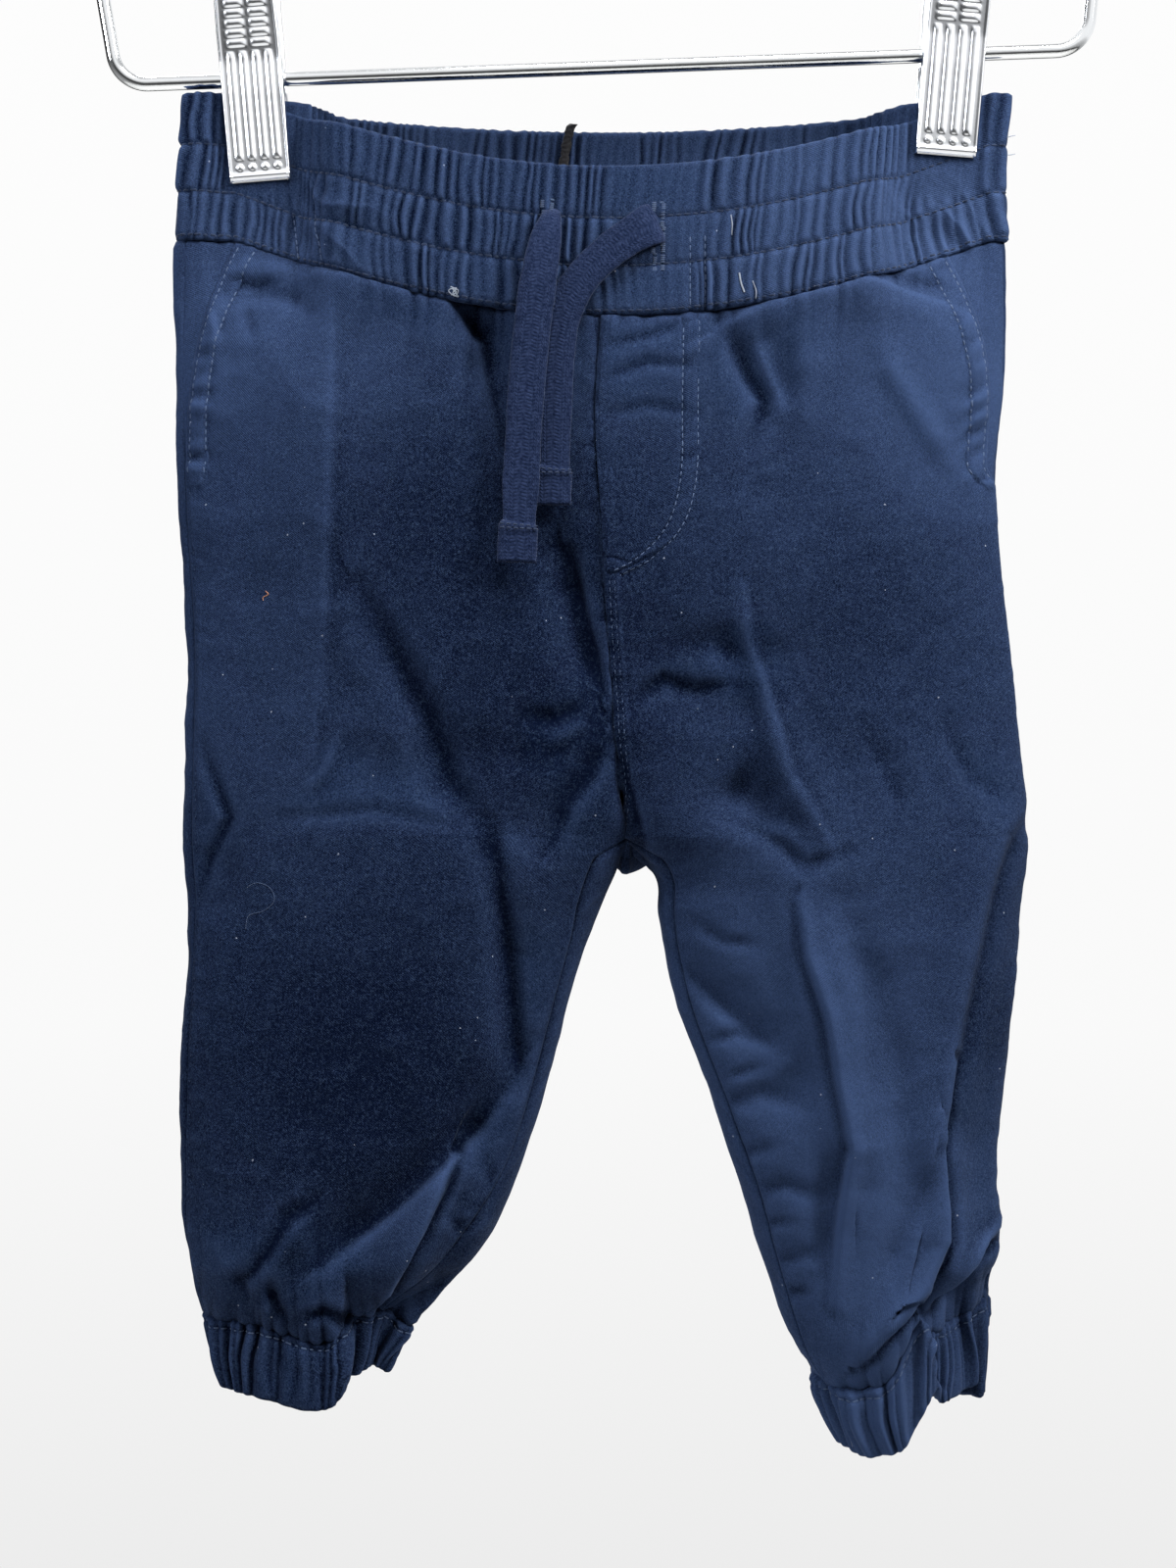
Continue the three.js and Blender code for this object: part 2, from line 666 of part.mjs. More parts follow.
function bandPoint(half, face, around, v) {
  const seam = CENTRE[face](0);
  const across = 1 - Math.cos(around * Math.PI / 2);
  const rise = (1 - (1 - across) ** 2.4) ** (1 / 2.4);
  const [top, middle, bottom] = BAND_OUTER[half];
  const outer = v < 0.5 ? mix(top, middle, v * 2) : mix(middle, bottom, v * 2 - 1);
  const x = mix(outer, seam.x, across);
  const y = seam.y * rise * mix(...BAND_DEPTH[face], v);
  const z = WAIST_TOP - waistDip(face, x) - v * BAND_HEIGHT;
  return [x, pinchDepth(x, y, z), z];
}

function bandGrid(face) {
  const grid = BAND_ROWS.map((v) => {
    const route = [];
    for (let i = 0; i <= 120; i += 1) route.push(bandPoint('left', face, i / 120, v));
    for (let i = 119; i >= 0; i -= 1) route.push(bandPoint('right', face, i / 120, v));
    return spread(route, BAND_GATHERS * 2);
  });
  grid.turn = face === 'front' ? 1 : -1;
  return grid;
}

// How deep the gathers are at a point: none under the clips, few on the flat front.
function bandGather(face, x, z, column) {
  const grip = mix(1, GRIPPED_SHARE, clipPinch(x, Math.max(z, PINCH.jaw + 1)));
  const flat = face === 'front'
    ? smooth((Math.abs(x - FLAT_FRONT.middle) - FLAT_FRONT.half) / FLAT_FRONT.fade)
    : 1;
  const uneven = 0.82 + 0.18 * Math.sin(column * 1.9) * Math.sin(column * 0.37);
  return GATHER.band * grip * mix(FLAT_SHARE, 1, flat) * uneven;
}

// Moves a grid's columns out and in by turns, along the normals.
function gather(grid, normals, depth) {
  return grid.map((row, r) => row.map((p, c) => {
    const sign = c % 2 ? 1 : -1;
    return p.map((value, i) => value + normals[r][c][i] * sign * depth(p, r, c));
  }));
}

function buildWaistband() {
  const faces = ['front', 'back'];
  const grids = faces.map(bandGrid);
  const normals = sharedNormals(grids);
  faces.forEach((face, i) => {
    const edges = { first: true, last: true, top: false, bottom: true };
    const drawn = drawIn(grids[i], normals[i], edges);
    const end = drawn[0].length - 1;
    const depth = (p, r, c) => (c === 0 || c === end
      ? 0
      : bandGather(face, p[0], p[2], c) * BAND_ROW_GATHER[r]);
    const gathered = gather(drawn, normals[i], depth);
    const geometry = wall(gathered, normals[i], { turn: grids[i].turn });
    addPiece(garment, `waistband_${face}`, geometry, BAND);
  });
}

// The overlocked edge of the centre back seam, inside the waistband.
const SEAM_EDGE = { top: [-2, -160.6], bottom: [-7, -198], width: 2.4, thick: 1.2 };

function buildSeamEdge() {
  const { top, bottom, width, thick } = SEAM_EDGE;
  const rows = 5;
  const grid = [];
  for (let r = 0; r <= rows; r += 1) {
    const x = mix(top[0], bottom[0], Math.sqrt(r / rows));
    const z = mix(top[1], bottom[1], r / rows);
    const depth = CENTRE.back(0).y * mix(...BAND_DEPTH.back, r / rows);
    const y = depth - WALL / 2 - GATHER.band - CLEARANCE - thick / 2;
    grid.push([[x - width / 2, y, z], [x + width / 2, y, z]]);
  }
  grid.turn = 1;
  const [normals] = sharedNormals([grid]);
  addPiece(garment, 'back_seam_edge', wall(grid, normals, { thick }), BLACK_TAPE);
}

// ---------------------------------------------------------------- cuffs

function cuffPoint(half, face, around, v) {
  const leg = FULLNESS[half](1);
  const outer = OUTER[half](1);
  const inner = INNER[half](1);
  const hem = CUFF_HEM[half];
  const shape = {
    outer: mixPoint([outer.x, 0, outer.z], hem.outer, v),
    inner: mixPoint([inner.x, inner.y, inner.z], hem.inner, v),
  };
  [, , shape.level] = shape.inner;
  for (const name of ['front', 'back', 'frontZ', 'backZ']) {
    shape[name] = mix(leg[name], hem[name], v);
  }
  const [x, y, z] = sectionPoint(shape, face, around, 1);
  const out = face === 'front' ? -1 : 1;
  return [x, y + out * foldsAt(face, x, z) * facing(around, 1), z];
}

function buildCuff(half) {
  const columns = CUFF_GATHERS * 2;
  const grid = CUFF_ROWS.map((v) => {
    const route = [];
    for (let i = 0; i <= 90; i += 1) route.push(cuffPoint(half, 'front', i / 90, v));
    for (let i = 89; i >= 0; i -= 1) route.push(cuffPoint(half, 'back', i / 90, v));
    return spread(route, columns);
  });
  grid.turn = half === 'left' ? 1 : -1;
  const [normals] = sharedNormals([grid]);
  const drawn = drawIn(grid, normals, { top: true }, CUFF_SEAM_GAP);
  const rowDepth = [0.1, 1, 0.9];
  const depth = (p, r, c) => GATHER.cuff * rowDepth[r] * (0.8 + 0.2 * Math.sin(c * 1.3));
  const ring = gather(drawn, normals, depth).map((row) => row.slice(0, columns));
  const geometry = wall(ring, normals, { turn: grid.turn, closed: true });
  addPiece(garment, `cuff_${half}`, geometry, CLOTH);
}

// ---------------------------------------------------------------- drawstring

// The middle of each flat end of the drawstring, and its thickness: it comes out of
// a buttonhole in the waistband, hangs free and ends in a stitched fold.
const TAPE_WIDTH = 9.4;
const DRAWSTRING = {
  left: [
    { at: [-8.6, -16.2, -188.5], thick: 1.4 },
    { at: [-9.0, -17.2, -195.0], thick: 1.4 },
    { at: [-9.8, -18.6, -203.0], thick: 1.4 },
    { at: [-11.2, -19.0, -214.0], thick: 1.4 },
    { at: [-13.0, -19.0, -228.0], thick: 1.4 },
    { at: [-14.2, -19.0, -243.0], thick: 1.4 },
    { at: [-15.0, -19.0, -258.0], thick: 1.4 },
    { at: [-15.6, -19.1, -270.4], thick: 1.4 },
    { at: [-15.8, -19.2, -271.2], thick: 2.4 },
    { at: [-16.2, -19.3, -280.4], thick: 2.4 },
  ],
  right: [
    { at: [17.8, -16.0, -190.5], thick: 1.4 },
    { at: [12.6, -16.1, -195.6], thick: 1.4 },
    { at: [6.6, -16.4, -201.4], thick: 1.4 },
    { at: [0.4, -16.6, -208.0], thick: 1.4 },
    { at: [-4.2, -16.7, -216.0], thick: 1.4 },
    { at: [-6.2, -16.7, -227.0], thick: 1.4 },
    { at: [-6.8, -16.7, -240.0], thick: 1.4 },
    { at: [-7.1, -16.7, -256.0], thick: 1.4 },
    { at: [-7.3, -16.8, -256.8], thick: 2.2 },
    { at: [-7.4, -16.8, -265.6], thick: 2.2 },
  ],
};

// A flat tape's outline: eight corners, across and through the tape.
const TAPE_CORNERS = [
  [-0.5, -0.25], [-0.42, -0.5], [0.42, -0.5], [0.5, -0.25],
  [0.5, 0.25], [0.42, 0.5], [-0.42, 0.5], [-0.5, 0.25],
];

function sweepTape(stations) {
  const rings = stations.map(({ at, thick }, i) => {
    const before = stations[Math.max(i - 1, 0)].at;
    const after = stations[Math.min(i + 1, stations.length - 1)].at;
    const along = vec(after).sub(vec(before)).normalize();
    const across = new THREE.Vector3(0, 1, 0).cross(along).normalize();
    const through = along.clone().cross(across);
    return TAPE_CORNERS.map(([u, w]) => vec(at)
      .addScaledVector(across, u * TAPE_WIDTH)
      .addScaledVector(through, w * thick));
  });
  const count = TAPE_CORNERS.length;
  const faces = [];
  rings.slice(1).forEach((_, i) => {
    for (let k = 0; k < count; k += 1) {
      const next = (k + 1) % count;
      const [a, b] = [i * count + k, i * count + next];
      faces.push(a, b, b + count, a, b + count, a + count);
    }
  });
  const last = (rings.length - 1) * count;
  for (let k = 1; k < count - 1; k += 1) {
    faces.push(0, k + 1, k, last, last + k, last + k + 1);
  }
  const geometry = new THREE.BufferGeometry().setFromPoints(rings.flat());
  geometry.setIndex(faces);
  return geometry;
}

// ---------------------------------------------------------------- hanger and clips

const toManifold = (geometry) => {
  const bare = new THREE.BufferGeometry();
  bare.setAttribute('position', geometry.attributes.position);
  bare.setIndex(geometry.index);
  const merged = mergeVertices(bare, 1e-4);
  return new wasm.Manifold(new wasm.Mesh({
    numProp: 3,
    vertProperties: new Float32Array(merged.attributes.position.array),
    triVerts: new Uint32Array(merged.index.array),
  }));
};

const fromManifold = (solid) => {
  const { vertProperties, triVerts } = solid.getMesh();
  const geometry = new THREE.BufferGeometry();
  geometry.setAttribute('position', new THREE.BufferAttribute(vertProperties, 3));
  geometry.setIndex(new THREE.BufferAttribute(triVerts, 1));
  return geometry;
};

// A path through stations that a sweep meets one by one.
class StationPath extends THREE.Curve {
  constructor(stations) {
    super();
    this.stations = stations;
  }

  getPoint(t) {
    const place = THREE.MathUtils.clamp(t, 0, 1) * (this.stations.length - 1);
    const i = Math.min(Math.floor(place), this.stations.length - 2);
    return this.stations[i].clone().lerp(this.stations[i + 1], place - i);
  }

  getUtoTmapping(u) {
    return u;
  }
}

const inPlane = (x, z) => new THREE.Vector3(x, 0, z);

// The stations of a path with rounded corners.
function roundedStations(corners, radius, steps) {
  const stations = [corners[0]];
  for (let i = 1; i < corners.length - 1; i += 1) {
    const back = corners[i - 1].clone().sub(corners[i]).normalize();
    const on = corners[i + 1].clone().sub(corners[i]).normalize();
    const half = back.angleTo(on) / 2;
    const reach = radius / Math.tan(half);
    const middle = back.clone().add(on).normalize().multiplyScalar(radius / Math.sin(half));
    const start = back.clone().multiplyScalar(reach).sub(middle);
    const end = on.clone().multiplyScalar(reach).sub(middle);
    const turn = start.angleTo(end);
    for (let k = 0; k <= steps; k += 1) {
      const [p, q] = [Math.sin(turn * (1 - k / steps)), Math.sin(turn * k / steps)];
      const arm = start.clone().multiplyScalar(p).addScaledVector(end, q);
      arm.divideScalar(Math.sin(turn));
      stations.push(corners[i].clone().add(middle).add(arm));
    }
  }
  stations.push(corners.at(-1));
  return stations;
}

function wireAlong(stations) {
  const sides = 10;
  const ring = [];
  for (let k = 0; k < sides; k += 1) {
    const angle = (k / sides) * Math.PI * 2;
    ring.push(new THREE.Vector2(Math.cos(angle), Math.sin(angle)).multiplyScalar(WIRE / 2));
  }
  return new THREE.ExtrudeGeometry(new THREE.Shape(ring), {
    steps: stations.length - 1,
    extrudePath: new StationPath(stations),
    bevelEnabled: false,
  });
}

const NECK = { z: -75, radius: 4, height: 13 };
const SHOULDER = { x: 131, z: -113 };
const CORNER_RADIUS = 9;
const HOOK = { radius: 19 + WIRE / 2, from: -38, to: 200 };   // degrees round the hook

function buildHanger() {
  const corners = [
    inPlane(-2, NECK.z),
    inPlane(-SHOULDER.x, SHOULDER.z),
    inPlane(-BAR_HALF, -BAR_DROP),
    inPlane(BAR_HALF, -BAR_DROP),
    inPlane(SHOULDER.x, SHOULDER.z),
    inPlane(2, NECK.z),
  ];
  const collar = new THREE.CylinderGeometry(NECK.radius, NECK.radius, NECK.height, 16);
  collar.rotateX(Math.PI / 2);
  collar.translate(0, 0, NECK.z);
  const loop = toManifold(wireAlong(roundedStations(corners, CORNER_RADIUS, 6)));
  addPiece(hanger, 'hanger_frame', fromManifold(loop.subtract(toManifold(collar))), CHROME);
  const hookMiddle = WIRE / 2 - HOOK.radius;
  const hookStations = [inPlane(0, NECK.z), inPlane(0, -56), inPlane(2.4, -47),
    inPlane(8.4, -39.5)];
  const steps = 16;
  for (let k = 0; k <= steps; k += 1) {
    const angle = THREE.MathUtils.degToRad(mix(HOOK.from, HOOK.to, k / steps));
    hookStations.push(inPlane(HOOK.radius * Math.cos(angle),
      hookMiddle + HOOK.radius * Math.sin(angle)));
  }
  const hook = toManifold(wireAlong(hookStations)).add(toManifold(collar));
  addPiece(hanger, 'hanger_hook', fromManifold(hook), CHROME);
}

// One leaf of a clip, seen from the side: where its inner face lies at each height
// above the bar.
const LEAF = {
  thick: 1,
  inner: [[-27, 2.15], [-4, 3.8], [4, 4.0], [20, 7.0], [33, 10.5]],
  ear: { front: 6.9, back: 5.5, wide: 1, low: -2, high: 5.5, reach: 3.6 },
  hole: 2.9,
};
const BARREL = { inner: 2.7, outer: 3.4, half: 4.9 };

// Extrudes a shape drawn in depth and height along the clip's width.
function acrossClip(points, from, to) {
  const shape = new THREE.Shape(points.map(([y, z]) => new THREE.Vector2(y, z)));
  const geometry = new THREE.ExtrudeGeometry(shape, { depth: to - from, bevelEnabled: false });
  geometry.translate(0, 0, from);
  const turned = new THREE.Matrix4().makeBasis(
    new THREE.Vector3(0, 1, 0),
    new THREE.Vector3(0, 0, 1),
    new THREE.Vector3(1, 0, 0),
  );
  return geometry.applyMatrix4(turned);
}

function clipLeaf(face) {
  const out = face === 'front' ? -1 : 1;
  const { thick, inner, ear, hole } = LEAF;
  const near = inner.map(([z, y]) => [out * y, z]);
  const far = inner.map(([z, y]) => [out * (y + thick), z]).reverse();
  let solid = toManifold(acrossClip([...near, ...far], -CLIP_WIDTH / 2, CLIP_WIDTH / 2));
  for (const side of [-1, 1]) {
    const [a, b] = [side * ear[face], side * (ear[face] + ear.wide)];
    const plate = [
      [out * 4.5, ear.low],
      [out * 4.5, ear.high],
      [-out * ear.reach, ear.high],
      [-out * ear.reach, ear.low],
    ];
    solid = solid.add(toManifold(acrossClip(plate, Math.min(a, b), Math.max(a, b))));
  }
  const bore = new THREE.CylinderGeometry(hole, hole, CLIP_WIDTH + 4, 16);
  bore.rotateZ(Math.PI / 2);
  return fromManifold(solid.subtract(toManifold(bore)));
}

function clipBarrel() {
  const tube = (radius, length) => {
    const geometry = new THREE.CylinderGeometry(radius, radius, length, 14);
    return toManifold(geometry.rotateZ(Math.PI / 2));
  };
  const { inner, outer, half } = BARREL;
  return fromManifold(tube(outer, half * 2).subtract(tube(inner, half * 2 + 2)));
}

function buildClip(half) {
  const out = half === 'left' ? -1 : 1;
  const jaw = 27;
  const x = CLIP_X[half] + out * jaw * Math.sin(CLIP_LEAN);
  const barMiddle = -BAR_DROP * Math.sin(HANGER_TILT);
  const z = -BAR_DROP * Math.cos(HANGER_TILT) - (x - barMiddle) * Math.tan(HANGER_TILT);
  const clip = new THREE.Group();
  clip.position.set(x, 0, z);
  clip.rotation.y = out * CLIP_LEAN;
  joggers.add(clip);
  addPiece(clip, `clip_${half}_front`, clipLeaf('front'), CHROME);
  addPiece(clip, `clip_${half}_back`, clipLeaf('back'), CHROME);
  addPiece(clip, `clip_${half}_spring`, clipBarrel(), CHROME);
}

buildPanels();
buildFly();
buildWaistband();
buildSeamEdge();
buildHanger();
for (const half of ['left', 'right']) {
  buildPocketFacing(half);
  buildCuff(half);
  buildClip(half);
  addPiece(garment, `drawstring_${half}`, sweepTape(DRAWSTRING[half]), TAPE);
}

export default joggers;
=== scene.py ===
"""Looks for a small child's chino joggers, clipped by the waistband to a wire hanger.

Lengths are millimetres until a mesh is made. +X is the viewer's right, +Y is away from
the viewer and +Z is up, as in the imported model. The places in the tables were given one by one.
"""

import math

import bpy
import numpy as np
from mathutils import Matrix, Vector


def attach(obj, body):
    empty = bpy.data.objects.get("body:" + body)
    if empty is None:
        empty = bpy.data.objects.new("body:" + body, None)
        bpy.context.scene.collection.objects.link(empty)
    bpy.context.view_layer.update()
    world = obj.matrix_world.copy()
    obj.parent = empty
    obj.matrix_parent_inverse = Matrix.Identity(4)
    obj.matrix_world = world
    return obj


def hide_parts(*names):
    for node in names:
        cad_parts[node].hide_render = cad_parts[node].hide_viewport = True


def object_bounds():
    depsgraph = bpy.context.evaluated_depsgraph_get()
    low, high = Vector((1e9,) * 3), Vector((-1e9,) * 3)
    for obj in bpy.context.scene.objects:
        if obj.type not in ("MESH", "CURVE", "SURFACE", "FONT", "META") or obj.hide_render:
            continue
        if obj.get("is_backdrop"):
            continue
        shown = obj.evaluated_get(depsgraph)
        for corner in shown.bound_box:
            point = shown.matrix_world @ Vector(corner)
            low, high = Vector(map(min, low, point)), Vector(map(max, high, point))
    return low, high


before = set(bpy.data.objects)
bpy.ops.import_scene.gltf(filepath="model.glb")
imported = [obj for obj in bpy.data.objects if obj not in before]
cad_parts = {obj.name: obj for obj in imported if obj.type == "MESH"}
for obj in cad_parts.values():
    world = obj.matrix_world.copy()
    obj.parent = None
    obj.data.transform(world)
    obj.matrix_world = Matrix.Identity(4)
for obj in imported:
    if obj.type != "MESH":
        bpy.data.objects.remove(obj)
CAD_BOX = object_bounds()
MM = 0.001

# ---------------------------------------------------------------- camera

CAMERA = {"at": (1.8, -620.0, -336.3), "half_height": 204.0}
SENSOR = 36


def make_camera():
    data = bpy.data.cameras.new("camera")
    data.sensor_width = SENSOR
    data.lens = SENSOR / 2 * -CAMERA["at"][1] / CAMERA["half_height"]
    data.clip_start = 0.01
    camera = bpy.data.objects.new("camera", data)
    camera.location = Vector(CAMERA["at"]) * MM
    camera.rotation_euler = (math.pi / 2, 0, 0)
    bpy.context.collection.objects.link(camera)
    bpy.context.scene.camera = camera


make_camera()
bpy.context.scene.view_settings.view_transform = "Standard"

# ---------------------------------------------------------------- numbers


def mix(a, b, k):
    return a + (b - a) * k


def smooth(k):
    k = np.clip(k, 0.0, 1.0)
    return k * k * (3 - 2 * k)


def bump(gap, width):
    return np.exp(-((gap / width) ** 2))


def unit(vectors):
    size = np.linalg.norm(vectors, axis=-1, keepdims=True)
    return vectors / np.maximum(size, 1e-9)


def distances(points):
    """How far along a line each of its points lies."""
    return np.concatenate([[0], np.cumsum(np.linalg.norm(np.diff(points, axis=0), axis=1))])


def along_line(goals, at, table):
    """The table's points at the given distances along it."""
    return np.stack([np.interp(goals, at, table[:, axis]) for axis in range(3)], -1)


def follow(rows):
    """A function that follows a table smoothly along its first column."""
    table = np.array(rows, float)
    at, value = table[:, 0], table[:, 1:]
    count = len(at)
    before = np.maximum(np.arange(count) - 1, 0)
    after = np.minimum(np.arange(count) + 1, count - 1)
    slope = (value[after] - value[before]) / (at[after] - at[before])[:, None]

    def place(t):
        t = np.asarray(t, float)
        i = np.minimum(np.searchsorted(at[1:], t, side="left"), count - 2)
        span = at[i + 1] - at[i]
        k = np.clip((t - at[i]) / span, 0, 1)[..., None]
        span = span[..., None]
        k2, k3 = k * k, k * k * k
        return ((2 * k3 - 3 * k2 + 1) * value[i] + (k3 - 2 * k2 + k) * slope[i] * span
                + (3 * k2 - 2 * k3) * value[i + 1] + (k3 - k2) * slope[i + 1] * span)

    return place


def noise(x, y, size, seed):
    """Smooth random hills of a given size, from -1 to 1."""
    hills = np.random.default_rng(seed).uniform(-1, 1, (64, 64))
    gx, gy = x / size + 500.3, y / size + 500.7
    ix, iy = np.floor(gx).astype(int), np.floor(gy).astype(int)
    fx, fy = smooth(gx - ix), smooth(gy - iy)
    corner = lambda a, b: hills[(ix + a) % 64, (iy + b) % 64]
    return mix(mix(corner(0, 0), corner(1, 0), fx), mix(corner(0, 1), corner(1, 1), fx), fy)


def pleats(u, pitch, uneven, seed, sharp=0.75):
    """Rounded pleats with narrow creases between them, unevenly spaced, from 0 to 1."""
    rng = np.random.default_rng(seed)
    count = int((np.max(u) - np.min(u)) / pitch) + 12
    steps = pitch * (1 + uneven * rng.uniform(-1, 1, count * 2))
    marks = np.min(u) - 4 * pitch + np.cumsum(steps)
    tall = rng.uniform(0.5, 1.0, len(marks))
    lean = rng.uniform(0.75, 1.35, len(marks))
    i = np.clip(np.searchsorted(marks, u), 1, len(marks) - 1)
    k = np.clip((u - marks[i - 1]) / (marks[i] - marks[i - 1]), 0, 1) ** lean[i]
    return tall[i] * np.maximum(np.sin(np.pi * k), 0) ** sharp


# ---------------------------------------------------------------- the garment's form

WALL = 1.2
WAIST_TOP = -157.0
BAND_HEIGHT = 38.6
WAIST_MID = 8.0
DIP = {"front": 21.5, "back": 6.0}
DIP_REACH = 98.0
BAND_OUTER = {"left": [-101.8, -103.2, -104.4], "right": [110.6, 109.2, 110.0]}
BAND_DEPTH = {"front": 0.86, "back": 0.9}
CLIP_X = {"left": -83.0, "right": 94.4}
CLIP_WIDTH = 16.0
CLIP_GRIP = 1.15
CLIP_FOOT = -184
BAND_GRIP = -183.0
CLIP_LEAN = math.radians(4.6)
# How far down the leg, from 0 at the waist seam to 1 at the cuff seam.
CROTCH = 0.55
LEG_FROM = 0.28
FLY_END = 0.297
# The share of the way round from which a leg's section turns in to its inner fold.
TUCK_FROM = 0.58
OVAL = 2.4
SAMPLES = 500
HALVES = ("left", "right")
FACES = ("front", "back")
OUT = {"front": -1, "back": 1}

# The side fold of each leg: down the leg from 0 to 1, x, z.
OUTER = {
    "left": follow([
        [0.00, -104.4, -195.6], [0.12, -105.0, -230], [0.25, -104.0, -266],
        [0.38, -102.0, -302], [0.55, -102.6, -350], [0.62, -101.6, -369],
        [0.78, -103.2, -413], [0.90, -102.6, -447], [0.96, -100.2, -465],
        [1.00, -97.6, -475],
    ]),
    "right": follow([
        [0.00, 110.0, -195.6], [0.12, 109.8, -230], [0.22, 107.2, -258],
        [0.38, 110.8, -302], [0.53, 115.0, -344], [0.64, 113.2, -374],
        [0.78, 109.6, -413], [0.87, 107.2, -438], [0.92, 108.4, -453],
        [0.97, 105.4, -468], [1.00, 105.6, -477],
    ]),
}

# The centre seams: down, x, y, z.
CENTRE = {
    "front": follow([
        [0.00, 5.0, -13.0, -217.1], [0.12, 3.6, -14.0, -243], [0.25, 5.4, -15.0, -273],
        [0.38, 7.2, -15.0, -305], [0.48, 9.6, -12.5, -332], [0.52, 10.8, -9.5, -342],
        [0.55, 11.5, -5.0, -349.5],
    ]),
    "back": follow([
        [0.00, -4.0, 15.0, -201.6], [0.12, -3.0, 17.0, -233], [0.25, 0.5, 18.0, -268],
        [0.38, 5.0, 17.5, -303], [0.45, 8.2, 15.8, -329], [0.48, 9.6, 13.8, -340],
        [0.50, 10.6, 10.6, -350.5], [0.52, 11.3, 5.6, -356.6], [0.535, 11.5, -0.2, -356],
        [0.55, 11.5, -5.0, -349.5],
    ]),
}

# The inner fold of each leg: down, x, y, z.
INNER = {
    "left": follow([
        [0.55, 11.5, -5.0, -349.5], [0.565, 9.6, -3.8, -354.2], [0.59, 6.8, -1.2, -361.4],
        [0.62, 3.2, 0.5, -370], [0.70, -4.0, 1.0, -391.5], [0.78, -10.1, 1.0, -413.5],
        [0.86, -16.4, 1.0, -436], [0.92, -24.4, 1.5, -453], [0.97, -36.4, 3.0, -468],
        [1.00, -45.0, 4.0, -477.5],
    ]),
    "right": follow([
        [0.55, 11.5, -5.0, -349.5], [0.565, 17.6, -2.0, -354.8], [0.59, 20.8, 0.0, -361],
        [0.62, 21.4, 0.0, -370], [0.70, 25.8, 0.0, -392], [0.78, 34.0, 0.0, -415],
        [0.86, 42.2, 0.0, -440], [0.92, 47.6, 0.0, -459], [0.97, 54.2, 0.0, -477],
        [1.00, 60.8, 0.0, -487],
    ]),
}

# Down, depth before and behind, how much lower the cloth hangs there, and how far round
# the front the side seam and the inner leg seam lie.
FULLNESS = {
    "left": follow([
        [0.00, 13, 15, 0, 0, 2.2, 0], [0.30, 16, 18, 0, 0, 2.4, 0],
        [0.55, 17, 17, 0, 0, 2.6, 0], [0.57, 17, 17, 0, 0, 2.6, 6],
        [0.65, 17, 17, 0, 0, 2.4, 3.6], [0.78, 17, 18, 0, 0, 2.0, 2.6],
        [0.86, 18, 18, 0, 0, 1.6, 4], [0.93, 18, 17, -1, 0, 1.2, 8],
        [0.97, 15, 14, -2, 0, 1.0, 8], [1.00, 10, 9, -2.5, 0, 1.0, 7],
    ]),
    "right": follow([
        [0.00, 13, 15, 0, 0, 0, 0], [0.30, 16, 18, 0, 0, 0, 0],
        [0.55, 18, 17, 0, 0, 0, 0], [0.57, 18, 17, 0, 0, 0, 3],
        [0.65, 18, 17, 0, 0, 0, 2.4], [0.78, 18, 18, 0, 0, 0, 2.8],
        [0.86, 18, 18, 0, 0, 0, 3.6], [0.93, 18, 17, -2, 1, 0, 3.4],
        [0.97, 17, 15, -4, 2, 0, 3], [1.00, 13, 11, -6, 3, 0, 2.6],
    ]),
}

CUFF_HEM = {
    "left": {"outer": (-92.6, 0, -491), "inner": (-51, 3, -489),
             "fullness": (11, 9, -6, 0)},
    "right": {"outer": (104.4, 0, -497), "inner": (68, 0, -504),
              "fullness": (12, 11, -5, 1)},
}

# The pocket mouth's distance from the side fold, and the fly's edge from the centre.
POCKET_END = 0.215
POCKET_MOUTH = follow([
    [0.000, 15], [0.036, 11], [0.075, 7.5], [0.120, 4.8], [0.170, 3.2], [0.215, 2.6],
])
FLY_EDGE = follow([
    [0.000, 26.5], [0.100, 27.5], [0.170, 27], [0.225, 24], [0.256, 19.5], [0.279, 13],
    [0.291, 7], [0.297, 4],
])

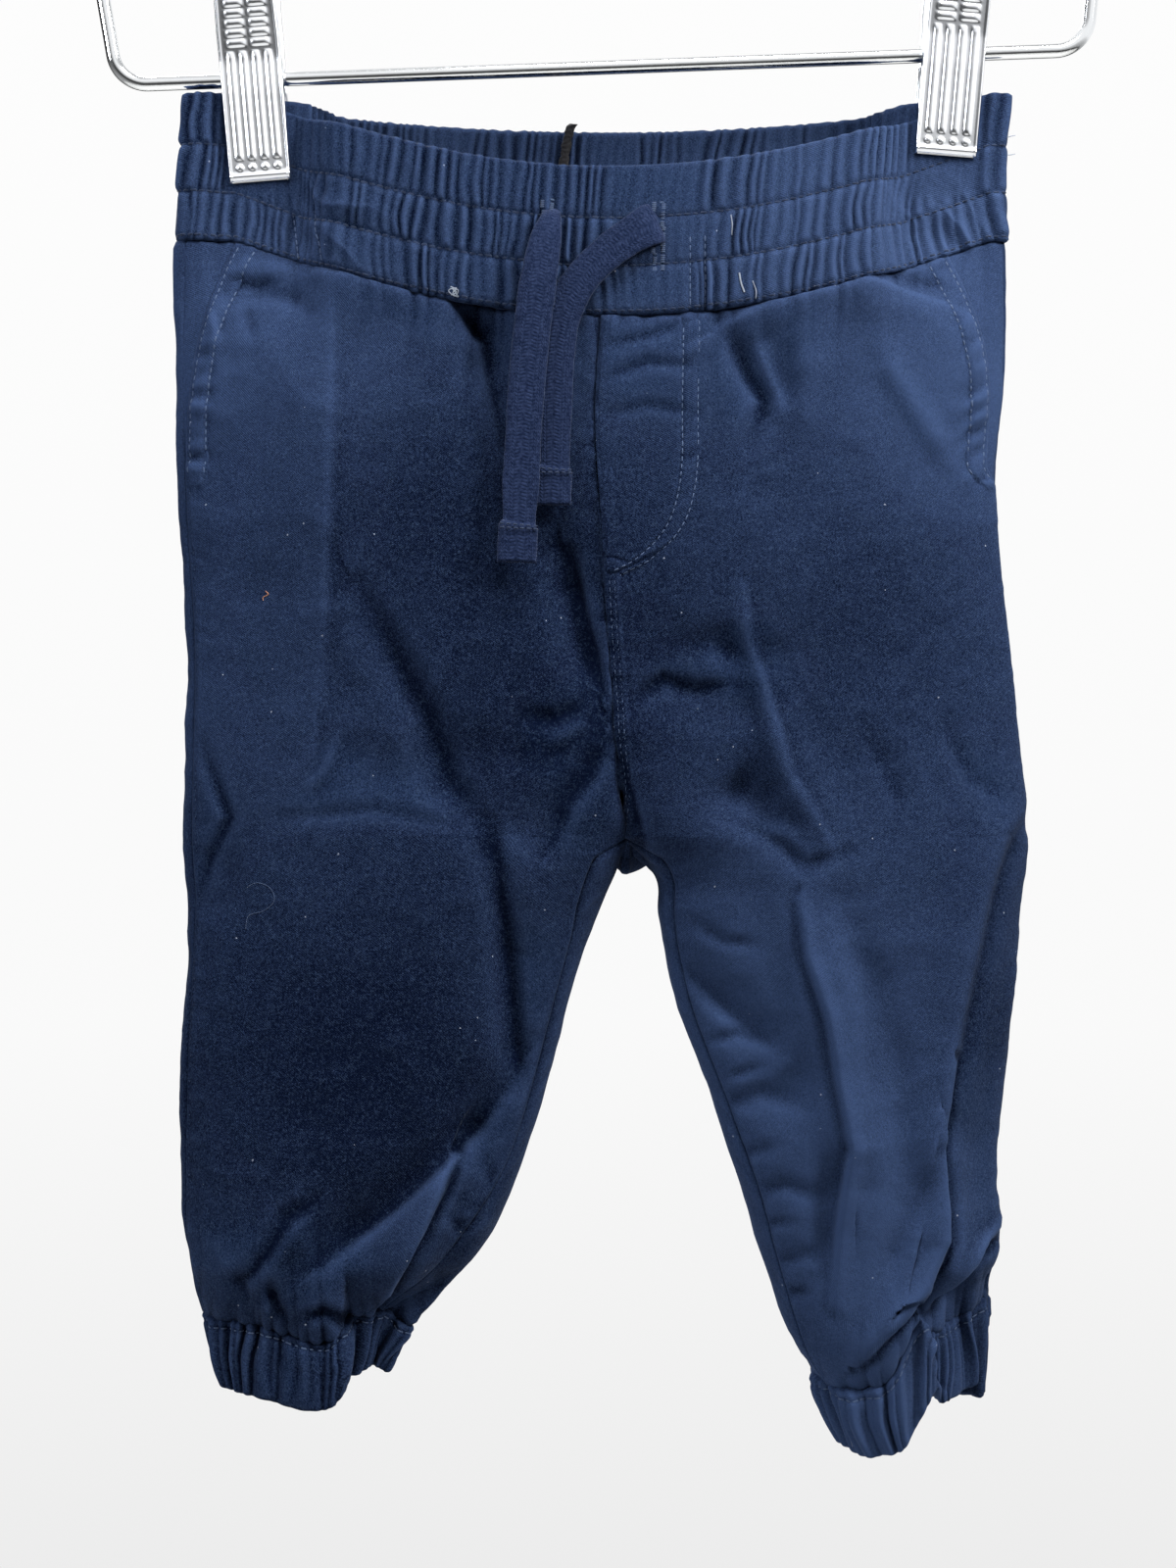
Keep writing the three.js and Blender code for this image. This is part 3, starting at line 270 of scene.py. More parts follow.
# Main folds: a path seen from the front, the crest's height (a hollow is negative), its
# width on the left and the right of the path as it goes, and any hollow on its right.
FOLDS = {
    "front": [
        ([(-17, -409), (-32, -428), (-51, -445), (-68, -459)], -4, 8, 11),
        ([(-65, -499), (-61, -488), (-59, -480), (-48, -466), (-42, -450), (-34, -433)],
         2.6, 13, 8, -5),
        ([(-70, -445), (-80, -455), (-90, -468)], 2.5, 6, 6),
        ([(-12, -372), (-18, -388), (-17, -410)], -2.5, 7, 8),
        ([(-66, -208), (-66, -250), (-68, -290)], 2.2, 12, 14),
        ([(-29, -212), (-25, -222), (-22, -236)], -3.5, 7, 6),
        ([(-9, -266), (-6, -290), (2, -312)], -3, 9, 8),
        ([(-4, -352), (-30, -338), (-58, -330)], -2.4, 8, 9),
        ([(-92, -352), (-97, -372)], -2, 6, 6),
        ([(41, -218), (47, -230), (52, -242)], -3, 8, 8),
        ([(27, -300), (43, -304), (60, -303)], -1.6, 6, 6),
        ([(14, -312), (34, -318), (54, -316)], -2, 7, 6),
        ([(46, -306), (50, -328), (62, -352)], 3, 7, 8),
        ([(35, -336), (53, -342)], -3, 8, 8),
        ([(57, -366), (63, -390), (70, -424), (70, -438)], 3.2, 10, 9, -1),
        ([(32, -386), (42, -398), (52, -408)], -3, 8, 8),
        ([(39, -420), (52, -414), (63, -410)], -2.4, 7, 7),
        ([(87, -444), (92, -424), (98, -388), (106, -357), (115, -342)], 2, 9, 10, -4),
        ([(93, -500), (89, -487), (86, -477), (89, -469), (95, -455), (92, -433)],
         2.4, 12, 8, -5),
    ],
    "back": [
        ([(-40, -228), (-44, -262), (-50, -300)], 3, 12, 12),
        ([(54, -222), (50, -255), (56, -292)], 2.6, 11, 13),
        ([(0, -262), (-20, -300), (-46, -330)], -3, 10, 10),
        ([(14, -300), (36, -326), (62, -342)], -3, 9, 10),
        ([(4, -336), (-22, -346), (-56, -346)], -2.6, 8, 8),
        ([(-30, -366), (-42, -398), (-46, -430)], 3.6, 9, 9, -2),
        ([(-74, -352), (-84, -384), (-80, -420)], -3, 9, 9),
        ([(-26, -424), (-50, -444), (-76, -454)], -3.4, 8, 10),
        ([(-52, -454), (-62, -468), (-72, -476)], 2.6, 7, 7),
        ([(40, -362), (58, -374), (84, -376)], -2.6, 8, 8),
        ([(84, -384), (80, -414), (86, -440)], 3.6, 9, 9, -2),
        ([(50, -404), (60, -428), (58, -452)], -3, 8, 8),
        ([(64, -446), (78, -460), (96, -466)], -3, 8, 8),
    ],
}

# Finer creases of the same kind, which are in the cloth's surface alone.
CREASES = {
    "front": [
        ([(-93, -203.6), (-85, -202.2), (-78, -203.6), (-70, -204.6)], 1.3, 4.0, 3.6),
        ([(-90, -206.6), (-84, -207.4), (-78, -206.6)], -1.0, 1.6, 1.6),
        ([(-96, -214), (-93, -221), (-94, -228)], 0.6, 1.6, 1.8),
        ([(-86, -214), (-84, -221)], -0.5, 2.0, 2.0),
        ([(-91, -209.6), (-81, -209.4), (-74, -211), (-69, -214.6)], -1.0, 3.0, 3.4),
        ([(-67, -205.6), (-52, -207.4), (-36, -211)], 1.0, 1.4, 8),
        ([(-64, -209), (-64, -237), (-65, -267), (-67, -316)], 0.9, 3, 16),
        ([(-31, -213), (-24, -223), (-23, -231), (-19, -250)], -1.6, 8, 2.5),
        ([(-4, -277), (-1, -289), (2, -300), (5, -313)], -2.0, 2.4, 6),
        ([(5, -313), (1, -318), (-6, -320), (-14, -319)], -1.2, 4, 4),
        ([(6, -313), (-1, -320), (-10, -327)], 1.0, 3.4, 3.4),
        ([(5, -326), (2, -334), (-4, -342), (-8, -352)], -1.8, 3, 6),
        ([(-57, -286), (-47, -304), (-39, -319), (-34, -336), (-24, -350)], -2.2, 5, 7),
        ([(-23, -346), (-19, -372), (-17, -401), (-16, -412)], -1.8, 3.4, 5),
        ([(-36, -323), (-23, -329), (-12, -328), (-4, -323)], -1.2, 9, 8),
        ([(-76, -345), (-52, -343), (-33, -347)], -0.7, 3, 3),
        ([(-71, -339), (-66, -334), (-62, -325)], 0.5, 3, 2),
        ([(-97, -326), (-90, -345), (-95, -355), (-98, -364)], -0.8, 2.4, 2.4),
        ([(6, -225), (18, -222), (26, -219)], -0.5, 2, 2),
        ([(6, -233), (17, -229), (28, -230)], -0.5, 2.2, 2),
        ([(7, -242), (17, -240), (30, -242)], -0.4, 2.2, 2),
        ([(36, -219), (43, -232), (47, -238), (44, -249)], -1.3, 3.4, 3.2),
        ([(44, -221), (48, -233), (52, -243)], 0.9, 3, 3),
        ([(57, -222), (58, -250)], 0.8, 6, 5),
        ([(77, -222), (80, -232), (88, -244), (97, -257)], 0.9, 5, 4),
        ([(35, -220.4), (50, -212.6), (60, -208.8), (72, -207.4), (81, -210), (92, -213.4),
          (99, -216)], 1.3, 1.8, 10),
        ([(76, -203.4), (86, -206.6), (95, -208.4)], -0.9, 2.0, 2.4),
        ([(41, -287), (42, -300), (46, -310), (52, -333), (64, -354)], 1.0, 2.4, 4.5),
        ([(20, -303), (33, -300), (43, -305)], -0.7, 5, 5),
        ([(13, -315), (21, -310), (29, -312.5), (39, -311)], -0.8, 2.6, 3.4),
        ([(31, -341), (42, -338), (48, -343), (58, -349)], -0.9, 5, 6),
        ([(38, -345), (52, -353), (57, -357), (67, -353)], -0.9, 2.6, 3.6),
        ([(10.5, -330), (12.5, -340), (16, -352)], -1.1, 1.8, 3.4),
        ([(90, -424), (93, -405), (97, -383), (103, -359), (107, -348), (114, -340)],
         0.8, 8, 4.0, -1.0),
        ([(56, -366), (58, -380), (63, -395), (66, -412), (69, -428), (66, -450), (65, -468)],
         1.1, 3.2, 2.4, -0.8),
        ([(76, -384), (81, -410), (82, -436), (78, -460)], -0.9, 5, 5),
        ([(30, -372), (36, -376), (44, -377)], -0.5, 2.4, 2.4),
        ([(33, -402), (40, -400), (47, -402)], -0.6, 2.2, 2.0),
        ([(38, -411), (46, -408)], -0.5, 2, 1.8),
        ([(46, -449), (54, -447)], -0.5, 2, 2),
        ([(52, -466), (58, -465)], -0.5, 2, 2),
        ([(67, -367), (73, -386), (74, -406), (76, -425)], -1.4, 6, 5),
        ([(26, -383), (37, -393), (51, -404)], -1.2, 5, 3),
        ([(64, -429), (62, -443), (61, -460)], -1.6, 3.6, 4),
        ([(73, -324), (79, -336), (82, -343)], -0.5, 4, 3),
        ([(93, -321), (100, -335), (110, -341)], -0.6, 4, 3),
        ([(90, -432), (86, -441), (80, -452), (76, -463)], -0.9, 4.4, 4.4),
        ([(70, -483), (76, -476), (81, -471), (87, -464), (92, -452), (92, -444), (91, -428),
          (94, -407)], 1.3, 5, 2.0, -1.5),
        ([(88, -469), (95, -462), (101, -455), (107, -450)], 1.2, 3, 2.4, -1.6),
        ([(35, -419), (46, -415), (58, -418)], -0.7, 3.6, 3),
        ([(41, -431), (50, -428)], -0.45, 2.6, 2),
        ([(44, -441), (52, -438), (61, -441)], -0.6, 3.2, 2.6),
        ([(50, -458), (60, -455)], -0.5, 3, 2.4),
        ([(-16, -409), (-26, -423), (-35, -432), (-47, -443), (-59, -452), (-66, -458)],
         -1.8, 2.4, 7),
        ([(-68, -442), (-74, -446), (-80, -456), (-86, -463), (-85, -471)], -1.6, 2.4, 4),
        ([(-58, -477), (-51, -467), (-46, -458), (-41, -449), (-36, -439), (-33, -431)],
         1.5, 6, 2.2, -1.7),
        ([(-24, -433), (-21, -441), (-24, -449)], -0.6, 2.6, 2.6),
        ([(-29, -439), (-33, -446), (-29, -454)], -0.5, 2.4, 2.4),
        ([(-79, -464), (-76, -473)], -1.2, 2, 2.2),
        ([(-70, -472), (-65, -470), (-58, -475)], -1.0, 2, 2),
    ],
    "back": [
        ([(-70, -208), (-72, -236), (-70, -262)], 0.8, 4, 12),
        ([(66, -207), (70, -230), (67, -258)], 0.8, 12, 4),
        ([(-6, -262), (-24, -296), (-50, -326), (-70, -336)], -1.6, 5, 3),
        ([(10, -290), (34, -322), (60, -340), (84, -346)], -1.6, 3, 5),
        ([(2, -326), (-20, -338), (-46, -341)], 1.0, 3, 3),
        ([(8, -338), (24, -350), (30, -366)], -1.6, 3, 3),
        ([(-8, -350), (-16, -366), (-18, -392)], -1.4, 3.5, 4),
        ([(-40, -372), (-50, -400), (-48, -426)], 1.0, 3, 5),
        ([(-84, -356), (-90, -384), (-84, -412)], -1.2, 4, 3),
        ([(-24, -422), (-46, -440), (-74, -450)], -1.6, 2.6, 6),
        ([(-56, -452), (-66, -466), (-72, -474)], 1.2, 2.4, 4),
        ([(-84, -446), (-88, -462), (-86, -472)], -1.2, 2.4, 3),
        ([(88, -366), (84, -392), (88, -418)], 1.0, 2.6, 5),
        ([(46, -396), (58, -420), (56, -446)], -1.4, 3, 5),
        ([(62, -444), (78, -456), (98, -462)], -1.6, 2.4, 4),
        ([(86, -462), (90, -474)], -1.2, 2, 2.4),
        ([(70, -470), (72, -482)], -1.2, 2.4, 2),
    ],
}


def waist_dip(face, x):
    reach = (x - WAIST_MID) / DIP_REACH
    return DIP[face] * np.maximum(0, 1 - reach * reach) ** 1.1


def beside_clips(x):
    """The distance to the middle of the nearer clip."""
    return np.minimum(abs(x - CLIP_X["left"]), abs(x - CLIP_X["right"]))


def clip_pinch(x, z):
    """1 where a clip grips the cloth, falling to 0 beside it and below it."""
    across = 1 - smooth((beside_clips(x) - CLIP_WIDTH / 2 - 1) / 13)
    return across * (1 - smooth((CLIP_FOOT - z) / 46))


def pinch_depth(x, y, z):
    held = np.sign(y) * mix(abs(y), CLIP_GRIP, clip_pinch(x, z))
    return np.where(abs(y) <= CLIP_GRIP, y, held)


def fold_rise(x, z, sharp, path, rise, left, right, hollow=0):
    """How high one fold stands at each place. It fades towards its path's ends."""
    best = np.full(np.shape(x), np.inf)
    side, along = np.zeros(np.shape(x)), np.zeros(np.shape(x))
    for i, ((ax, az), (bx, bz)) in enumerate(zip(path, path[1:])):
        dx, dz = bx - ax, bz - az
        k = np.clip(((x - ax) * dx + (z - az) * dz) / (dx * dx + dz * dz), 0, 1)
        ox, oz = x - ax - k * dx, z - az - k * dz
        gap = np.hypot(ox, oz)
        near = gap < best
        best = np.where(near, gap, best)
        side = np.where(near, np.sign(dx * oz - dz * ox), side)
        along = np.where(near, (i + k) / (len(path) - 1), along)
    width = np.where(side > 0, left, right)
    taper = np.minimum(1, 0.35 + 2.6 * np.minimum(along, 1 - along))
    beside = np.where(side < 0, hollow * np.exp(-((best / width - 1.15) ** 2) * 2.2), 0)
    return (rise * bump(best, width) ** sharp + beside) * taper


def folds_at(table, x, z, sharp=1.0):
    return sum(fold_rise(x, z, sharp, *fold) for fold in table)


def oval(across):
    """A flat oval's depth, from 0 at its side to 1 at its middle."""
    return (1 - (1 - across) ** OVAL) ** (1 / OVAL)


def section_point(full, lobe, level, outer, inner, face, around, leg):
    """A half garment's cross-section: a flat oval's quarter in the body, a half in a leg."""
    out = OUT[face]
    body_across = 1 - np.cos(around * np.pi / 2)
    leg_across = (1 - np.cos(around * np.pi)) / 2
    rise = oval(body_across)
    ox, oy, oz = outer
    ix, iy, iz = inner
    dome = np.maximum(0, np.sin(around * np.pi)) ** 0.8
    held = np.maximum(0, iy * out) / full
    leg_depth = out * full * dome * (1 - 0.7 * leg_across * held)
    tuck = (iz - level) * smooth((around - TUCK_FROM) / (1 - TUCK_FROM))
    body = [mix(ox, ix, body_across), mix(oy, iy, rise), mix(oz, iz, body_across)]
    tube = [
        mix(ox, ix, leg_across),
        mix(oy, iy, leg_across ** 2) + leg_depth,
        mix(oz, level, leg_across) + tuck + lobe * dome,
    ]
    return [mix(b, t, leg) for b, t in zip(body, tube)]


def leg_share(down):
    """0 where the section is the body's oval, 1 where it is a leg."""
    return smooth((down - LEG_FROM) / (CROTCH - LEG_FROM))


def draped(half, face, around, down):
    """Places on a half's plain cloth: round it from the side fold, and down it."""
    around, down = np.broadcast_arrays(np.asarray(around, float), np.asarray(down, float))
    outer = OUTER[half](down)
    in_body = (down <= CROTCH)[..., None]
    inner = np.where(in_body, CENTRE[face](down), INNER[half](down))
    shape, behind = FULLNESS[half](down), FACES.index(face)
    full, lobe = shape[..., behind], shape[..., 2 + behind]
    level = np.where(down < CROTCH, CENTRE["front"](down)[..., 2], inner[..., 2])
    leg = leg_share(down) ** 1.5
    zero = np.zeros(down.shape)
    ends = [outer[..., 0], zero, outer[..., 1]], [inner[..., a] for a in range(3)]
    x, y, z = section_point(full, lobe, level, *ends, face, around, leg)
    top = float(CENTRE[face](0.0)[2])
    start = section_point(full, lobe, top, [outer[..., 0], zero, float(OUTER[half](0.0)[1])],
                          [inner[..., 0], inner[..., 1], top], face, around, leg)
    seam = WAIST_TOP - BAND_HEIGHT - waist_dip(face, x)
    z = z + (seam - start[2]) * (1 - smooth(down / 0.35))
    return np.stack([x, pinch_depth(x, y, z), z], -1)


def facing(around, down):
    """How squarely a point faces forward or back, 0 on the folds at either side."""
    body, leg = np.sin(around * np.pi / 2), np.sin(around * np.pi)
    return np.maximum(0, mix(body, leg, leg_share(down))) ** 0.6


def folded(half, face, around, down):
    """Places on a half's cloth with its main folds."""
    p = draped(half, face, around, down)
    x, z = p[..., 0], p[..., 2]
    rise = folds_at(FOLDS[face], x, z) * facing(around, down) * (1 - clip_pinch(x, z))
    p[..., 1] += OUT[face] * rise
    return p


def around_at(half, face, down, distance, from_inner):
    """The share of the way round at which the cloth lies a given distance from a fold."""
    share = np.linspace(0, 1, 161)
    place = 1 - share if from_inner else share
    x = draped(half, face, place[None, :], down[:, None])[..., 0]
    gap = np.maximum.accumulate(abs(x - x[:, :1]), axis=1)
    distance = np.broadcast_to(distance, down.shape)
    return np.array([np.interp(d, g, place) for d, g in zip(distance, gap)])


def spread(routes, count):
    """Points evenly spaced along each row's route."""
    rows = []
    for route in routes:
        at = distances(route)
        rows.append(along_line(np.linspace(0, at[-1], count + 1), at, route))
    return np.array(rows)


def panel_rows(count):
    """How far down each row lies: the rows are closer at the seams."""
    upper = round(count * 0.56)
    k = np.arange(upper + 1) / upper
    above = CROTCH * mix(k, 1 - (1 - k) ** 1.6, 0.75)
    k = np.arange(1, count - upper + 1) / (count - upper)
    below = CROTCH + (1 - CROTCH) * mix(k, k ** 1.5, 0.5)
    return np.concatenate([above, below])


def panel_grid(half, face, rows, columns):
    """A panel's grid. The back's reaches round both folds, on to the front."""
    down = panel_rows(rows)
    mouth = POCKET_MOUTH(down)[:, 0] * smooth((POCKET_END + 0.012 - down) / 0.024)
    side, inseam = FULLNESS[half](down)[:, 4:6].T
    if face == "front":
        side = np.maximum(mouth, side)
    start = around_at(half, "front", down, side, False)[:, None]
    end = around_at(half, "front", down, inseam, True)
    end = np.where(down > CROTCH, end, 1)[:, None]

    def run(on, first, last, count):
        return folded(half, on, mix(first, last, np.linspace(0, 1, count)[None, :]),
                      down[:, None])

    if face == "front":
        return spread(run("front", start, end, SAMPLES), columns), down
    around = [run("front", start, 0, 40), run("back", 0, 1, SAMPLES), run("front", 1, end, 60)]
    grid = spread(np.concatenate(around, 1), columns)
    x, y, z = grid[..., 0], grid[..., 1], grid[..., 2]
    reach = np.hypot(x - GUSSET["x"], (z - GUSSET["z"]) * 0.7)
    grid[..., 2] = z - GUSSET["sag"] * bump(reach, GUSSET["reach"]) * smooth((y + 1.5) / 3)
    return grid, down


# Where the back hangs below the crotch.
GUSSET = {"x": 14.6, "z": -351, "reach": 6.4, "sag": 3.4}

# Each cuff is folded in two: its lower lobe hangs in front, and past the fold the rest
# lies higher and further back. x of the fold, lift, set-back, and the sag: x, reach, rise.
HEM_FOLD = {"left": (-60.5, 5.0, 5.0, (-78, 34, 2.6)),
            "right": (84.5, 8.0, 6.5, (70, 11, -2.0))}


def hem_warp(grid, half):
    """The grid with its lower end folded and tilted as the cuff hangs."""
    x, y, z = grid[..., 0], grid[..., 1], grid[..., 2]
    at, lift, back, (low, reach, sag) = HEM_FOLD[half]
    weight = smooth((-456 - z) / 22) * smooth(0.5 - y / 6)
    if half == "right":
        at = at + np.where(z < -474, 0.25 * (-474 - z), 0.45 * (z + 474))
        tilt = 14 * smooth((x - at + 12) / 12) * smooth((-464 - z) / 14)
    else:
        tilt = -3.4 * smooth((x + 86) / 20) + 5 * smooth((x + 67) / 7) ** 2
    past = smooth((x - at) / 1.8 + 0.5)
    warped = grid.copy()
    warped[..., 1] = y + weight * past * back
    warped[..., 2] = z + weight * mix(sag * bump(x - low, reach) + tilt, lift, past)
    return warped


# ---------------------------------------------------------------- meshes


def make_mesh(name, points, triangles, material, slot, node=None, uv=None, shades=None):
    """A visible piece: its mesh and material, its slot, which is not used, and the solid it stands
    for.
    """
    mesh = bpy.data.meshes.new(name)
    count = len(triangles)
    mesh.vertices.add(len(points))
    mesh.vertices.foreach_set("co", (np.asarray(points, np.float32) * MM).ravel())
    mesh.loops.add(count * 3)
    mesh.loops.foreach_set("vertex_index", np.asarray(triangles, np.int32).ravel())
    mesh.polygons.add(count)
    mesh.polygons.foreach_set("loop_start", np.arange(count, dtype=np.int32) * 3)
    mesh.polygons.foreach_set("loop_total", np.full(count, 3, np.int32))
    mesh.polygons.foreach_set("use_smooth", np.full(count, True))
    mesh.update()
    if uv is not None:
        layer = mesh.uv_layers.new(name="cloth")
        layer.data.foreach_set("uv", np.asarray(uv * MM, np.float32).ravel())
    for shade, values in (shades or {}).items():
        layer = mesh.attributes.new(shade, "FLOAT", "POINT")
        layer.data.foreach_set("value", np.asarray(values, np.float32))
    mesh.validate()
    piece = bpy.data.objects.new(name, mesh)
    bpy.context.collection.objects.link(piece)
    mesh.materials.append(material)
    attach(piece, "root")
    if node:
        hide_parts(node)
    return piece


def grid_tris(ids):
    """Two triangles for each cell of a grid of point numbers."""
    a, b, c, d = ids[:-1, :-1], ids[1:, :-1], ids[1:, 1:], ids[:-1, 1:]
    return np.concatenate([np.stack(corners, -1).reshape(-1, 3)
                           for corners in ((a, b, c), (a, c, d))])


def fringe(fine, coarse, step):
    """Triangles between an edge of fine points and one with a point at each step."""
    half = max(step // 2, 1)
    place = np.arange(len(fine) - 1)
    near = place // step + (place % step >= half)
    return np.concatenate([np.stack([fine[:-1], fine[1:], coarse[near]], -1),
                           np.stack([fine[half::step], coarse[1:], coarse[:-1]], -1)])


def capped(rings):
    """Points and triangles of a tube through rings of points, closed at both ends."""
    count, sides = rings.shape[:2]
    points = np.concatenate([rings.reshape(-1, 3), [rings[0].mean(0), rings[-1].mean(0)]])
    ids = np.arange(count * sides).reshape(count, sides)
    ids = np.concatenate([ids, ids[:, :1]], 1)
    start, end = np.full((2, sides), count * sides) + [[0], [1]]
    return points, np.concatenate([
        grid_tris(ids)[:, ::-1],
        np.stack([ids[0, 1:], ids[0, :-1], start], 1),
        np.stack([ids[-1, :-1], ids[-1, 1:], end], 1),
    ])


def tube(path, radii, sides=24, up=(0.0, 1.0, 0.0)):
    """A round tube along a path, closed at its ends."""
    path = np.asarray(path, float)
    along = unit(np.gradient(path, axis=0))
    first = unit(np.cross(np.array(up), along))
    second = np.cross(along, first)
    turn = np.linspace(0, 2 * np.pi, sides, endpoint=False)[None, :, None]
    ring = first[:, None] * np.cos(turn) + second[:, None] * np.sin(turn)
    return capped(path[:, None] + ring * np.broadcast_to(radii, len(path))[:, None, None])


def join(*parts):
    points, tris, start = [], [], 0
    for p, t in parts:
        points.append(p)
        tris.append(t + start)
        start += len(p)
    return np.concatenate(points), np.concatenate(tris)


def padded(field, closed):
    """The field with a border: its own edge again, or its far side where it is closed."""
    wide = np.pad(field, 1, mode="edge")
    if closed:
        wide[:, 0], wide[:, -1] = wide[:, -2], wide[:, 1]
    return wide


def blurred(field, passes, closed=False):
    """The field with each point averaged with its neighbours, some times over."""
    for _ in range(passes):
        wide = padded(field, closed)
        field = (wide[:-2, 1:-1] + wide[2:, 1:-1] + wide[1:-1, :-2] + wide[1:-1, 2:]
                 + 4 * wide[1:-1, 1:-1]) / 8
    return field


def lowest_near(field, reach, closed=False):
    """The lowest value within so many cells of each point."""
    rows, columns = field.shape
    for _ in range(reach):
        wide = padded(field, closed)
        field = np.minimum.reduce([wide[r:r + rows, c:c + columns]
                                   for r in range(3) for c in range(3)])
    return field


# The level of painted light and shade where no patch adds to it or takes from it.
PAINTED_SHADE_BASE = 0.38
ALL_SIDES = ("first", "last", "top", "bottom")
# Patches of painted light and shade in the cloth's colour, seen from the front: x, z, reach,
# amount.
PAINTED_LIGHT_AND_SHADE = {
    "front": [
        (-12, -276, 44, -0.20), (-6, -326, 36, -0.28), (-46, -266, 30, -0.12),
        (-64, -430, 46, -0.28), (-70, -378, 40, -0.13), (-38, -398, 34, -0.14),
        (-92, -225, 30, 0.32), (-60, -230, 22, 0.10), (102, -236, 28, 0.58),
        (62, -214, 26, 0.18), (20, -228, 18, 0.10), (64, -322, 26, -0.14),
        (74, -280, 20, -0.12), (50, -396, 36, 0.46), (72, -452, 32, 0.52),
        (106, -400, 14, -0.18), (78, -500, 24, 0.62), (-80, -488, 20, -0.10),
        (60, -178, 34, 0.26), (98, -190, 16, 0.50), (-100, -320, 14, 0.12),
        (-4, -350, 14, 0.10),
    ],
    "back": [
        (-40, -260, 40, 0.16), (52, -262, 40, 0.18), (-50, -180, 50, 0.16),
        (60, -180, 50, 0.2), (6, -330, 30, -0.14), (-60, -420, 40, -0.1), (70, -430, 36, 0.1),
    ],
}
# Painted light and shade beside pressed creases and folds, in the same form as the folds.
PAINTED_FOLD_SHADING = [
    ([(-64, -206), (-64, -237), (-65, -267), (-67, -316), (-69, -340)], 0.08, 1.4, 16),
    ([(-104, -455), (-92, -454), (-82, -457)], 0.16, 1.5, 14),
    ([(-17, -412), (-25, -425), (-37, -435), (-48, -445), (-62, -456), (-68, -463)],
     0.26, 12, 1.4),
    ([(-78, -346), (-52, -344), (-30, -348)], 0.10, 12, 1.2),
    ([(56, -366), (58, -380), (63, -395), (67, -412), (70, -430), (66, -455), (66, -478)],
     0.09, 3.4, 1.0),
    ([(56, -366), (58, -380), (63, -395), (67, -412), (70, -430), (66, -455), (66, -478)],
     -0.07, 1.0, 11),
    ([(107, -352), (100, -380), (95, -410), (92, -433), (95, -452), (90, -466), (84, -478)],
     -0.13, 14, 1.0),
]


def painted_shading(grid):
    """How much painted light is in the colour, from 0 in painted shade to about 1."""
    x, y, z = grid[..., 0], grid[..., 1], grid[..., 2]
    shade = {face: sum(amount * bump(np.hypot(x - px, z - pz), reach)
                       for px, pz, reach, amount in PAINTED_LIGHT_AND_SHADE[face]) for face in FACES}
    front_shading = shade["front"] + folds_at(PAINTED_FOLD_SHADING, x, z)
    return PAINTED_SHADE_BASE + mix(shade["back"], front_shading, smooth(0.5 - y / 8))


